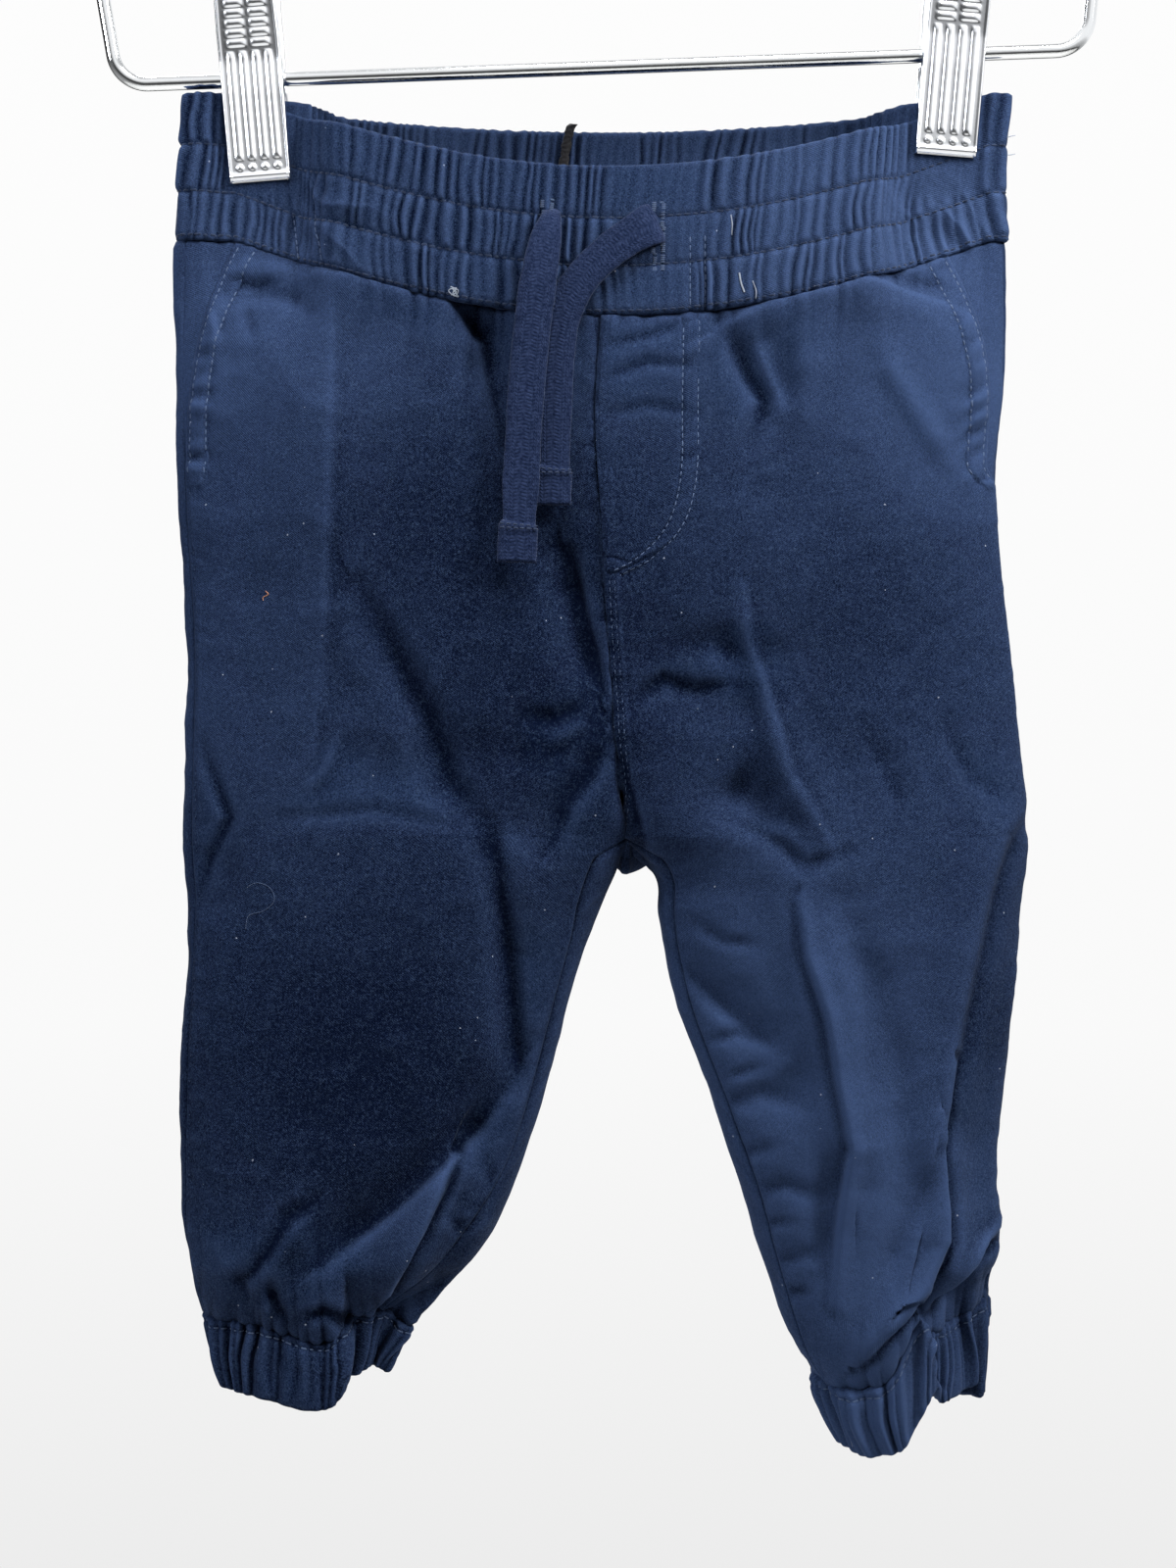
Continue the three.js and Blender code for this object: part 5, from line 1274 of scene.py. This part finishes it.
def band_relief(cloth, face):
    """Three channels of gathered cloth over elastic, with rows of stitches between them."""
    x, z = cloth.grid[..., 0], cloth.grid[..., 2]
    v = np.linspace(0, 1, cloth.rows)[:, None]
    seed = 200 + 50 * FACES.index(face)
    u, height = cloth.u, v * BAND_HEIGHT
    gathers = puff = 0
    for k, (low, high) in enumerate(zip(CHANNELS, CHANNELS[1:])):
        start = 1 if k == 0 else smooth((v - low) / CHANNEL_EDGE + 0.5)
        stop = 1 if k == 2 else smooth((high - v) / CHANNEL_EDGE + 0.5)
        drift = 1.3 * noise(u, height, 17, seed + k) + 0.45 * noise(u, height, 6, seed + 9 + k)
        fine = pleats(u + drift, 3.0, 0.55, seed + 20 + k, 1.7)
        wide = pleats(u + drift * 1.2, 7.5, 0.55, seed + 30 + k, 1.2)
        uneven = 0.8 + 0.45 * noise(u, height * 0.4, 6, seed + 40 + k)
        gathers = gathers + start * stop * uneven * (1.7 * fine + 0.6 * wide - 0.8)
        share = np.clip((v - low) / (high - low), 0, 1)
        puff = puff + np.sin(np.pi * share) ** 0.6 * ((v >= low) & (v < high))
    if face == "front":
        flat = 0.3 + 0.7 * smooth((abs(x - 19) - 8) / 6)
        flat = flat * (0.55 + 0.45 * smooth((abs(x + 62) - 10) / 12))
    else:
        flat = 0.35 + 0.65 * smooth((abs(x - 8) - 5) / 5)
    grip = clip_pinch(x, np.maximum(z, BAND_GRIP))
    ends = smooth(np.minimum(u, cloth.width[:, None] - u) / 1.4)
    under = (1 - smooth((beside_clips(x) - CLIP_WIDTH / 2) / 3)) * smooth((z + 186) / 3)
    rise = gathers * flat * (1 - 0.25 * grip) * (1 - 0.85 * under) * ends
    rows = sum(bump(height - at * BAND_HEIGHT, 0.9) for at in CHANNELS[1:3])
    last = bump(height - LAST_ROW * BAND_HEIGHT, 0.8)
    rise *= 1 - 0.45 * rows - 0.35 * last
    rise += (0.16 * puff - 0.34 * rows - 0.25 * last) * (1 - 0.6 * grip)
    rise -= 0.25 * smooth((v - 0.95) / 0.05) * (1 - grip)
    rise += 0.3 * noise(x, z, 20, seed + 60) * (1 - grip)
    rumpled = 0.9 * (1 - 2 * abs(noise(x + 0.5 * z, z * 0.6, 7, seed + 61)))
    beside = [bump(np.hypot(x - px, z - pz), reach) for px, pz, reach in RUMPLED]
    rise += rumpled * np.maximum(*beside) * ends
    if face == "front":
        for at, deep, _, lean in BAND_SEAMS:
            gap = x - at + (z - SEAM_LEVEL) * lean
            rise -= deep * bump(gap, 0.5) * smooth((v - 0.5) / 0.1) * ends
    return rise


def build_waistband():
    cloths = {}
    for face, turn, thick in (("front", 1, 2.1), ("back", -1, 2.0)):
        cloth = Cloth(band_grid(face), turn)
        cloth.thicken(thick, 1.1, ("top", "first", "last"), 0.15)
        low = np.clip(cloth.edge_gap(("bottom",)) / 0.8, 0, 1)
        half = cloth.half * mix(0.25, 1, np.sqrt(1 - (1 - low) ** 2))
        grip = clip_pinch(cloth.grid[..., 0], np.maximum(cloth.grid[..., 2], BAND_GRIP))
        cloth.half = mix(half, np.minimum(half, 0.8), grip)
        cloth.rise = band_relief(cloth, face) + 0.35 * (1 - grip)
        cloths[face] = cloth
    return cloths


def sew_waistband(cloths):
    column = np.linspace(3, BAND_COLUMNS - 3, 900)
    for face, cloth in cloths.items():
        for at in (*CHANNELS[1:3], LAST_ROW):
            row = np.full(len(column), at * (cloth.rows - 1))
            wander = 0.5 * noise(column, row, 40, int(at * 100))
            places, normals = cloth.at(row + wander, column, -0.05)
            sew(f"waistband_{face}", places, normals, DARK_THREAD, 2.15, 1.45, int(at * 90))
    front = cloths["front"]
    for at, _, start, lean in BAND_SEAMS:
        row = np.linspace(start, 0.96, 60) * (front.rows - 1)
        column = []
        for r in row:
            x, _, z = front.grid[int(r)].T
            goal = at - (np.mean(z[abs(x - at) < 2]) - SEAM_LEVEL) * lean
            column.append(np.interp(goal, x, np.arange(front.columns)))
        places, normals = front.at(row, np.array(column), -0.05)
        sew("waistband_front", places, normals, pitch=2.0, seed=7)


# ---------------------------------------------------------------- cuffs

CUFF_COLUMNS = 360
CUFF_ROWS = 44


def cuff_grid(half):
    shape, hem = FULLNESS[half](1.0), CUFF_HEM[half]
    outer, inner = OUTER[half](1.0), INNER[half](1.0)
    v = np.linspace(-0.07, 1, CUFF_ROWS + 1)[:, None]
    low = hem["fullness"]
    parts = []
    for k, face in enumerate(FACES):
        around = np.linspace(k, 1 - k, 400)
        ends = [[mix(a, b, v) for a, b in zip((outer[0], 0, outer[1]), hem["outer"])],
                [mix(a, b, v) for a, b in zip(inner, hem["inner"])]]
        x, y, z = section_point(mix(shape[k], low[k], v), mix(shape[2 + k], low[2 + k], v),
                                ends[1][2], *ends, face, around[None, :], 1.0)
        y = y + OUT[face] * folds_at(FOLDS[face], x, z) * facing(around, 1.0)[None, :]
        parts.append(np.stack([x, y, z], -1))
    ring = spread(np.concatenate([parts[0], parts[1][:, 1:]], 1), CUFF_COLUMNS)
    return hem_warp(ring[:, :-1], half)


def cuff_relief(cloth, seed):
    v = np.linspace(0, 1, cloth.rows)[:, None]
    share = np.arange(cloth.columns)[None, :] / cloth.columns
    girth = cloth.width.mean()
    u, height = share * girth, v * 15
    drift = 3.0 * np.sin(2 * np.pi * share * 3 + seed) * v + 1.0 * noise(u, height, 6, seed)
    wide = pleats(u + drift, 7.0, 0.5, seed + 1, 1.0)
    fine = pleats(u + 0.6 * drift, 3.0, 0.5, seed + 2, 1.4)
    ends = smooth(np.minimum(u, girth - u) / 5)
    waist = 0.55 + 0.45 * np.sin(np.pi * v).clip(0) ** 0.7
    rise = (3.0 * wide + 1.1 * fine - 1.7) * waist * ends
    rise += 0.5 * np.sin(np.pi * v) + 0.2 * noise(u, height, 9, seed + 3)
    return rise - 0.4 * bump(height - 2.0, 0.6) - 0.6 * smooth(1 - height / 1.4)


def build_cuffs():
    cloths = {}
    for half, turn, seed in (("left", 1, 520), ("right", -1, 560)):
        cloth = Cloth(cuff_grid(half), turn, closed=True)
        cloth.thicken(1.9, 0.95, ("top", "bottom"), 0.2)
        cloth.rise = cuff_relief(cloth, seed)
        cloths[half] = cloth
    return cloths


def sew_cuffs(cloths):
    for half, cloth in cloths.items():
        column = np.linspace(0, cloth.columns - 1, 700)
        places, normals = cloth.at(np.full(700, 6.0), column, -0.05)
        sew(f"cuff_{half}", places, normals, pitch=2.2, seed=4)


# ---------------------------------------------------------------- fly and pockets

FLY_LIFT = 0.85
FLY_ROWS = (1.4, 5.4)


def build_fly():
    rows, columns = 128, 56
    down = mix(0.004, FLY_END, np.sin(np.linspace(0, 1, rows + 1) * np.pi / 2))
    width = FLY_EDGE(down)[:, 0]
    around = np.stack([around_at("right", "front", down, mix(0.6, width, share), True)
                       for share in np.linspace(0, 1, columns + 1)], 1)
    cloth = Cloth(folded("right", "front", around, down[:, None]), 1)
    x, z = cloth.grid[..., 0], cloth.grid[..., 2]
    cloth.thicken(1.1, 0.6, ("first",), 0.1)
    edge = np.minimum(cloth.width[:, None] - cloth.u, cloth.v[-1:] - cloth.v)
    rise = FLY_LIFT + 1.6 * folds_at(CREASES["front"], x, z, 1.5)
    rise += 0.55 * noise(x, z, 26, 48) + 0.22 * noise(x, z, 9, 49)
    rise -= 0.8 * smooth(1 - edge / 1.6) + sum(0.35 * bump(edge - gap, 0.5) for gap in FLY_ROWS)
    rise += 0.4 * noise(cloth.v + x * 0.4, x * 0.3, 3.0, 58) * bump(edge - 3.4, 2.6)
    rise -= 0.6 * np.exp(-cloth.v / 1.5)
    rise += 0.5 * (pleats(x, 4.4, 0.5, 405) - 0.5) * np.exp(-cloth.v / 5)
    cloth.rise = rise
    return cloth


def sew_fly(cloth):
    row = np.linspace(1, cloth.rows - 2, 400)
    width = np.interp(row, np.arange(cloth.rows), cloth.width)
    for gap in FLY_ROWS:
        column = (cloth.columns - 1) * (1 - gap / width)
        inside = column > 2
        places, normals = cloth.at(row[inside], column[inside], -0.08)
        low = cloth.v[-1].mean() - gap * 0.7
        keep = cloth.v[row[inside].astype(int), cloth.columns // 2] < low
        sew("mock_fly", places[keep], normals[keep], pitch=1.95, seed=int(gap * 9))


def build_facing(half):
    rows, columns = 80, 32
    down = mix(0.0, POCKET_END + 0.014, np.linspace(0, 1, rows + 1))
    side = np.maximum(FULLNESS[half](down)[:, 4] - 1.2, 0)
    inner = POCKET_MOUTH(down)[:, 0] + 6
    around = np.stack([around_at(half, "front", down, mix(side, inner, c / columns), False)
                       for c in range(columns + 1)], 1)
    cloth = Cloth(folded(half, "front", around, down[:, None]), 1 if half == "left" else -1)
    cloth.thicken(1.0, 0.5)
    x, z = cloth.grid[..., 0], cloth.grid[..., 2]
    cloth.rise = 0.2 * noise(x, z, 7, 71) + 0.25 * (pleats(x, 4, 0.5, 406) - 0.5) - 0.45
    return cloth


def build_seam_edge():
    """The dark overlocked edge of the back seam, inside the waistband."""
    rows, columns = 88, 16
    k = np.linspace(0, 1, rows + 1)[:, None]
    across = np.linspace(-1, 1, columns + 1)[None, :]
    width = 1.05 + 0.2 * np.sin(k * 52) + 0.12 * np.sin(k * 131)
    x = mix(-2.0, -7.0, np.sqrt(k)) + across * width
    z = mix(-161.4, -198.0, k) + 0.4 * np.sin(across * 3) * np.sin(k * 60)
    y = CENTRE["back"](0.0)[1] * mix(BAND_DEPTH["back"], 1, k) - 2.1 + 0.35 * across ** 2
    cloth = Cloth(np.stack([x, y, z], -1), 1)
    cloth.thicken(1.3, 0.6)
    loops = np.abs(np.sin(k * 88 + across * 1.4)) ** 0.6
    cloth.rise = 0.45 * loops * (1 - 0.4 * across ** 2) - 0.2
    return cloth


# ---------------------------------------------------------------- hanger and clips

TILT = math.radians(-2.1)
WIRE = 3.6
BAR_DROP = 150
BAR_HALF = 126
SHOULDER = (131, -113)
NECK = {"z": -75, "radius": 4, "height": 13}
CORNER_RADIUS = 9
HOOK = {"radius": 19 + WIRE / 2, "from": -38, "to": 200}


def turned(points, angle):
    """Turns points about the y axis."""
    x, y, z = points[..., 0], points[..., 1], points[..., 2]
    return np.stack([x * math.cos(angle) + z * math.sin(angle), y,
                     -x * math.sin(angle) + z * math.cos(angle)], -1)


def rounded_corners(corners, radius, steps):
    points = [np.array(corners[0], float)]
    for before, here, after in zip(corners, corners[1:], corners[2:]):
        here = np.array(here, float)
        back, on = unit(np.array(before) - here), unit(np.array(after) - here)
        half = math.acos(float(np.dot(back, on))) / 2
        middle = here + unit(back + on) * radius / math.sin(half)
        start = here + back * radius / math.tan(half) - middle
        end = here + on * radius / math.tan(half) - middle
        turn = math.acos(float(np.dot(start, end)) / radius ** 2)
        for k in np.linspace(0, 1, steps + 1):
            arm = start * math.sin(turn * (1 - k)) + end * math.sin(turn * k)
            points.append(middle + arm / math.sin(turn))
    points.append(np.array(corners[-1], float))
    return np.array(points)


def build_hanger():
    corners = [(-2, 0, NECK["z"]), (-SHOULDER[0], 0, SHOULDER[1]), (-BAR_HALF, 0, -BAR_DROP),
               (BAR_HALF, 0, -BAR_DROP), (SHOULDER[0], 0, SHOULDER[1]), (2, 0, NECK["z"])]
    points, tris = tube(rounded_corners(corners, CORNER_RADIUS, 14), WIRE / 2)
    make_mesh("wire_frame", turned(points, TILT), tris, CHROME, "chrome", "hanger_frame")
    turn = np.radians(np.linspace(HOOK["from"], HOOK["to"], 60))
    arc = HOOK["radius"] * np.stack([np.cos(turn), 0 * turn, np.sin(turn) - 1], -1)
    arc[:, 2] += WIRE / 2
    stem = np.array([(0, 0, NECK["z"]), (0, 0, -62), (0, 0, -56), (2.4, 0, -47), (8.4, 0, -39.5)])
    route = smooth_route(np.concatenate([stem, arc]), 0.8)
    radii = np.full(len(route), WIRE / 2)
    radii[-3:] *= 0.95, 0.8, 0.45
    # The collar's profile, from its foot to its top: height from the nearer end, radius.
    profile = np.array([(0, 1.0), (0, 3.3), (0.5, 3.8), (1.2, 4.0), (1.8, 3.8)])
    low, high = NECK["z"] - NECK["height"] / 2, NECK["z"] + NECK["height"] / 2
    z = np.concatenate([low + profile[:, 0], high - profile[::-1, 0]])
    radius = np.concatenate([profile[:, 1], profile[::-1, 1]])
    radius[-1] = WIRE / 2
    apart = np.arange(len(z)) * 1e-3
    collar = tube(np.stack([0 * z, 0 * z, z + apart], -1), radius, 40)
    points, tris = join(tube(route, radii), collar)
    make_mesh("wire_hook", turned(points, TILT), tris, CHROME, "chrome", "hanger_hook")


# A leaf's half profile: z, and how far it stands from the middle plane.
LEAF_SIDE = np.array([(-27, 2.15), (-4, 3.8), (4, 4.0), (20, 7.0), (33, 10.5)])
LEAF_GRID = {"front": (201, 53), "back": (131, 43)}
EAR = {"front": 6.9, "back": 5.5, "wide": 1.0, "low": -2.0, "high": 5.5, "reach": 3.6}
BARREL = {"inner": 2.72, "outer": 3.4, "half": 4.9}
BRICK_PITCH = 2.45
FLUTES = (-4.9, -1.65, 1.65, 4.9)


def leaf_relief(x, z):
    """Pressed flutes, dots, a rolled lip and rows of grip bricks, as heights."""
    reach = np.clip(np.minimum((z + 21.6) / 1.2, (6.2 - z) / 1.5), 0, 1)
    relief = 0.3 * smooth((abs(x) - 7.0) / 0.5)
    for at in FLUTES:
        relief = relief + 0.5 * np.exp(-((x - at) / 0.85) ** 4) * np.sqrt(reach)
        relief = relief + 0.45 * np.exp(-(((x - at) ** 2 + (z + 23.4) ** 2) / 0.7) ** 2)
    row = (z - 8.2) / BRICK_PITCH
    near = abs(row - np.round(row)) * BRICK_PITCH
    column = abs(abs(x) - 3.1)
    brick = np.exp(-((near / 0.85) ** 4) - (column / 2.3) ** 6) * ((z > 7.2) & (z < 31.4))
    return relief + 0.5 * brick + 0.55 * bump(z + 25.6, 0.75) - 0.25 * bump(z + 27, 0.6)


def ear_plate(out, side, face):
    """A lug that carries the pivot's end."""
    mid, half = (EAR["low"] + EAR["high"]) / 2, (EAR["high"] - EAR["low"]) / 2
    outline = [(out * 4.6, EAR["high"]), (out * 4.6, EAR["low"])]
    outline += [(-out * (EAR["reach"] - half + half * math.sin(a)), mid - half * math.cos(a))
                for a in np.linspace(0, np.pi, 9)]
    count = len(outline)
    points = [(side * x, y, z) for x in (EAR[face], EAR[face] + EAR["wide"]) for y, z in outline]
    tris = []
    for k in range(count):
        beside = (k + 1) % count
        tris += [(k, beside, count + beside), (k, count + beside, count + k)]
    for k in range(1, count - 1):
        tris += [(0, k + 1, k), (count, count + k, count + k + 1)]
    tris = np.array(tris)
    return np.array(points, float), tris[:, ::-1] if out * side > 0 else tris


def clip_place(half):
    """Puts a clip's own points where it hangs on the tilted bar."""
    out = -1 if half == "left" else 1
    x = CLIP_X[half] + out * 27 * math.sin(CLIP_LEAN)
    bar = -BAR_DROP * math.sin(TILT)
    z = -BAR_DROP * math.cos(TILT) - (x - bar) * math.tan(TILT)
    return lambda points: turned(points, out * CLIP_LEAN) + np.array([x, 0, z])


def build_leaf(half, face):
    out, place = OUT[face], clip_place(half)
    rows, columns = LEAF_GRID[face]
    z = np.linspace(33, -27, rows)[:, None]
    x = np.linspace(-8, 8, columns)[None, :]
    y = blurred(np.repeat(np.interp(z, *LEAF_SIDE.T), 5, 1), 30)[:, :1]
    pinch_in = 1 - 0.03 * smooth((z - 10) / 10)
    grid = np.stack(np.broadcast_arrays(x * pinch_in, out * (y + 0.5), z), -1)
    cloth = Cloth(grid, -out)
    cloth.thicken(1.0, 0.6, least=0.1)
    cloth.rise = leaf_relief(x, z) * (cloth.edge_gap(("first", "last")) > 0.2)
    sheet = cloth.shell(1, plain_inside=True)[:2]
    points, tris = join(sheet, *(ear_plate(out, side, face) for side in (-1, 1)))
    make_mesh(f"clip_leaf_{half}_{face}", place(points), tris, CLIP_CHROME, "chrome",
              f"clip_{half}_{face}")


def build_spring(half):
    """A coil round a barrel, both along x."""
    turns, wire = 8, 0.34
    turn = np.linspace(0, 2 * np.pi * turns, turns * 28 + 1)
    radius = BARREL["outer"] - wire
    x = mix(-BARREL["half"] + wire, BARREL["half"] - wire, turn / turn[-1])
    coil = np.stack([x, radius * np.cos(turn), radius * np.sin(turn)], -1)
    core = np.linspace(-4.6, 4.6, 3)[:, None] * [1.0, 0.0, 0.0]
    points, tris = join(tube(coil, wire, 10, up=(1.0, 0.0, 0.0)), tube(core, BARREL["inner"], 28))
    make_mesh(f"clip_coil_{half}", clip_place(half)(points), tris, CHROME, "chrome",
              f"clip_{half}_spring")


# ---------------------------------------------------------------- small things on the cloth


def lay_thread(name, points, radius, material):
    make_mesh(name, *tube(points, radius, 6), material, "cotton_twill")


def fibre(name, cloth, places, radius, material):
    """A loose thread that lies on a cloth along the given rows and columns."""
    row, column = (np.array(a, float) for a in zip(*places))
    at = np.arange(len(row)) * 1.0
    fine = np.linspace(0, at[-1], len(row) * 8)
    curve = follow(np.column_stack([at, row, column]))(fine)
    points, _ = cloth.at(curve[:, 0], curve[:, 1], radius * 0.8)
    lay_thread(name, points, radius, material)


def cell_at(cloth, x, z):
    """The row and column of the grid point nearest to a place seen from the front."""
    gap = (cloth.grid[..., 0] - x) ** 2 + (cloth.grid[..., 2] - z) ** 2
    return np.unravel_index(np.argmin(gap), gap.shape)


# The slits that the drawstring comes out of: x, foot, top.
BUTTONHOLES = ((-8.4, -204.5, -187.5), (19.8, -205.5, -188.0))
BAR_PITCH = 0.62


def build_buttonholes(band):
    """Stitched bars at both sides of each slit."""
    for x, low, high in BUTTONHOLES:
        for side in (-1.0, 1.0):
            for z in np.arange(low, high, BAR_PITCH):
                row, column = cell_at(band, x + side * 1.15, z)
                pair = np.array([column - 1.6, column + 1.6])
                places, normals = band.at(np.full(2, float(row)), pair, 0.02)
                sew("waistband_front", places, normals, pitch=1.5, size=0.9, seed=int(z * 9) % 97)


# Loose threads and lint: cloth, thread, thickness, and places seen from the front.
LOOSE = {
    "curl": ("left", THREAD, 0.06, [
        (-85, -362.4), (-82, -361.7), (-78.8, -363), (-77.5, -366), (-80.5, -368.4),
        (-84.6, -369.7), (-85.6, -373)]),
    "tuft": ("band", PALE_THREAD, 0.13, [
        (-33.2, -212.0), (-31.6, -211.2), (-32.6, -210.6), (-31.2, -212.2), (-32.8, -211.4),
        (-31.8, -210.2), (-33.4, -210.9), (-32.2, -212.4), (-31.0, -210.9), (-32.9, -210.1)]),
    "rust": ("left", RUST_THREAD, 0.10, [
        (-80.4, -286.8), (-79.6, -288.2), (-80.8, -288.8), (-80.6, -289.8)]),
    "streak_a": ("band", PALE_THREAD, 0.12, [(38, -191.5), (38.4, -194), (38.2, -196.4)]),
    "streak_b": ("band", PALE_THREAD, 0.20, [(40.4, -206.6), (40.8, -209), (41.6, -211.4)]),
    "streak_c": ("band", PALE_THREAD, 0.13, [(43.8, -208.4), (44.4, -210.6), (44.6, -212.6)]),
}
# Threads that stand off the side of the band and the foot of the right cuff.
STRAY = {
    "end_a": (PALE_THREAD, [(108.6, -1.0, -169.0), (111.4, -2.4, -168.4), (112.8, -1.0, -167.8)]),
    "end_b": (PALE_THREAD, [(108.6, 0.0, -172.6), (111.6, -1.6, -173.0), (112.9, 0.0, -172.4)]),
    "tail": (THREAD, [(69.4, -9.0, -499.5), (68.8, -9.6, -503.4), (69.6, -9.2, -506.2)]),
}


def build_loose():
    cloths = {"left": panels["front", "left"], "band": bands["front"]}
    for name, (on, thread, radius, places) in LOOSE.items():
        cells = [cell_at(cloths[on], x, z) for x, z in places]
        fibre(f"loose_{name}", cloths[on], cells, radius, thread)
    for name, (thread, path) in STRAY.items():
        lay_thread(f"loose_{name}", path, 0.12, thread)


TAPE_FOLD = {"left": -271.4, "right": -257.2}


def sew_tape_ends():
    """A bar of dark stitches across each tape, where its end is turned up."""
    for half, z in TAPE_FOLD.items():
        cloth = tapes[half][0]
        row = np.argmin(abs(cloth.grid[:, 0, 2] - z))
        column = np.linspace(27, 45, 40)
        for step in (-1.2, 0.4):
            places, normals = cloth.at(np.full(40, row + step), column, 0.02)
            sew(f"tape_{half}", places, normals, DARK_THREAD, 1.7, 1.1, 9)


# ---------------------------------------------------------------- assembly

panels = build_panels()
bands = build_waistband()
cuffs = build_cuffs()
fly = build_fly()
facings = {half: build_facing(half) for half in HALVES}
seam_edge = build_seam_edge()

sew_panels(panels)
sew_waistband(bands)
sew_cuffs(cuffs)
sew_fly(fly)
sew_tape_ends()
build_buttonholes(bands["front"])
sewing = build_stitches()
build_loose()


def finish_cloth(cloth, name, node, material=NAVY, slot="cotton_twill", step=4):
    piece = cloth.build(name, node, material, slot, step)


build_hanger()
for half in HALVES:
    for face in FACES:
        build_leaf(half, face)
    build_spring(half)

for (face, half), cloth in panels.items():
    finish_cloth(cloth, f"{face}_cloth_{half}", f"{face}_{half}")
for face, step in (("front", 2), ("back", 1)):
    finish_cloth(bands[face], f"waist_cloth_{face}", f"waistband_{face}", NAVY_BAND_PAINTED_LIGHTER,
                 step=step)
for half, cloth in cuffs.items():
    finish_cloth(cloth, f"cuff_cloth_{half}", f"cuff_{half}", step=2)
for half, cloth in facings.items():
    finish_cloth(cloth, f"pocket_cloth_{half}", f"pocket_facing_{half}")
finish_cloth(fly, "fly_cloth", "mock_fly")
finish_cloth(seam_edge, "seam_tape", "back_seam_edge", OVERLOCK, "overlock", step=1)

# ---------------------------------------------------------------- floor and light

FLOOR_DROP = 0.95
# Radius and height of the floor's rings, in metres: its edge is turned down.
FLOOR_RINGS = ((0.3, 0.0), (0.6, 0.0), (0.9, 0.0), (1.1, 0.0), (1.15, -0.01))


def build_floor():
    sides = 64
    turn = np.linspace(0, 2 * np.pi, sides, endpoint=False)
    rings = np.array([np.stack([r * np.cos(turn), r * np.sin(turn), 0 * turn + z], -1)
                      for r, z in FLOOR_RINGS])
    ids = 1 + np.arange(len(rings) * sides).reshape(-1, sides)
    ids = np.concatenate([ids, ids[:, :1]], 1)
    middle = np.stack([0 * ids[0, :-1], ids[0, :-1], ids[0, 1:]], 1)
    points = np.concatenate([np.zeros((1, 3)), rings.reshape(-1, 3)])
    mesh = bpy.data.meshes.new("floor")
    mesh.from_pydata(points.tolist(), [], np.concatenate([middle, grid_tris(ids)]).tolist())
    floor = bpy.data.objects.new("floor", mesh)
    floor.location = (0, 0, -FLOOR_DROP)
    bpy.context.collection.objects.link(floor)
    n = Nodes(bpy.data.materials.new("pale_floor"))
    grain = n.noise(n.place(), 40.0, 6.0)
    mesh.materials.append(n.set(
        Base_Color=n.blend(grain, (0.62, 0.62, 0.61), (0.7, 0.7, 0.69)),
        Roughness=0.8, Normal=n.bumped(grain, 0.001, 0.3)))
    floor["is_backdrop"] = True


# Each light: name, place, aim, size, power and colour, in metres and watts.
LIGHTS = [
    ("right", (0.72, -0.42, 0.28), (0.05, 0.0, -0.27), 0.32, 17.0, (1.0, 0.98, 0.95)),
    ("left", (-0.8, -0.4, 0.1), (0.0, 0.0, -0.3), 0.4, 7.0, (0.93, 0.96, 1.0)),
    ("top", (0.1, -0.4, 0.55), (0.0, 0.0, -0.2), 0.35, 11.0, (1.0, 0.99, 0.97)),
    ("back", (-0.45, 0.9, 0.4), (0.0, 0.0, -0.28), 0.5, 18.0, (1.0, 0.99, 0.97)),
]


def build_lights():
    for name, at, aim, size, power, colour in LIGHTS:
        data = bpy.data.lights.new(name, "AREA")
        data.shape, data.size, data.energy, data.color = "DISK", size, power, colour
        light = bpy.data.objects.new(name, data)
        light.location = at
        light.rotation_euler = (Vector(aim) - Vector(at)).to_track_quat("-Z", "Y").to_euler()
        bpy.context.collection.objects.link(light)


# The room's brightness by height, from -1 straight down to 1 straight up.
SEEN = ((-1, 0.80), (-0.33, 0.83), (-0.1, 0.95), (0.3, 0.98))
SOFT = ((-1, 0.35), (-0.2, 0.5), (0.1, 0.8), (0.6, 1.0))
SHINE = ((-1, 0.35), (-0.5, 0.06), (-0.12, 0.05), (0.0, 0.4), (0.14, 0.5), (0.24, 0.66),
         (0.36, 1.0), (0.75, 0.95), (1, 0.55))
SHINE_SLANT = 0.6


def build_world():
    """A white room: even and bright to look at, softer where it lights the cloth."""
    world = bpy.data.worlds.new("room")
    bpy.context.scene.world = world
    n = Nodes(world)
    n.tree.nodes.clear()
    split = n.add("SeparateXYZ", Vector=n.add("TexCoord").outputs["Generated"]).outputs

    def shade(stops, strength, slant=0.0):
        level = n.scaled(split["X"], slant, split["Z"])
        span = n.add("MapRange", Value=level, From_Min=-1.0).outputs[0]
        colour = n.ramp(span, *(((at + 1) / 2, bright) for at, bright in stops))
        return n.add("Background", Color=colour, Strength=strength).outputs[0]

    rays = n.add("LightPath").outputs
    light = n.mixed(rays["Is Glossy Ray"], shade(SOFT, 0.14), shade(SHINE, 1.0, SHINE_SLANT))
    n.add("OutputWorld", Surface=n.mixed(rays["Is Camera Ray"], light, shade(SEEN, 1.0)))


build_floor()
build_lights()
build_world()

({"cad": [list(corner) for corner in CAD_BOX],
           "visual": [list(corner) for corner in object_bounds()]})
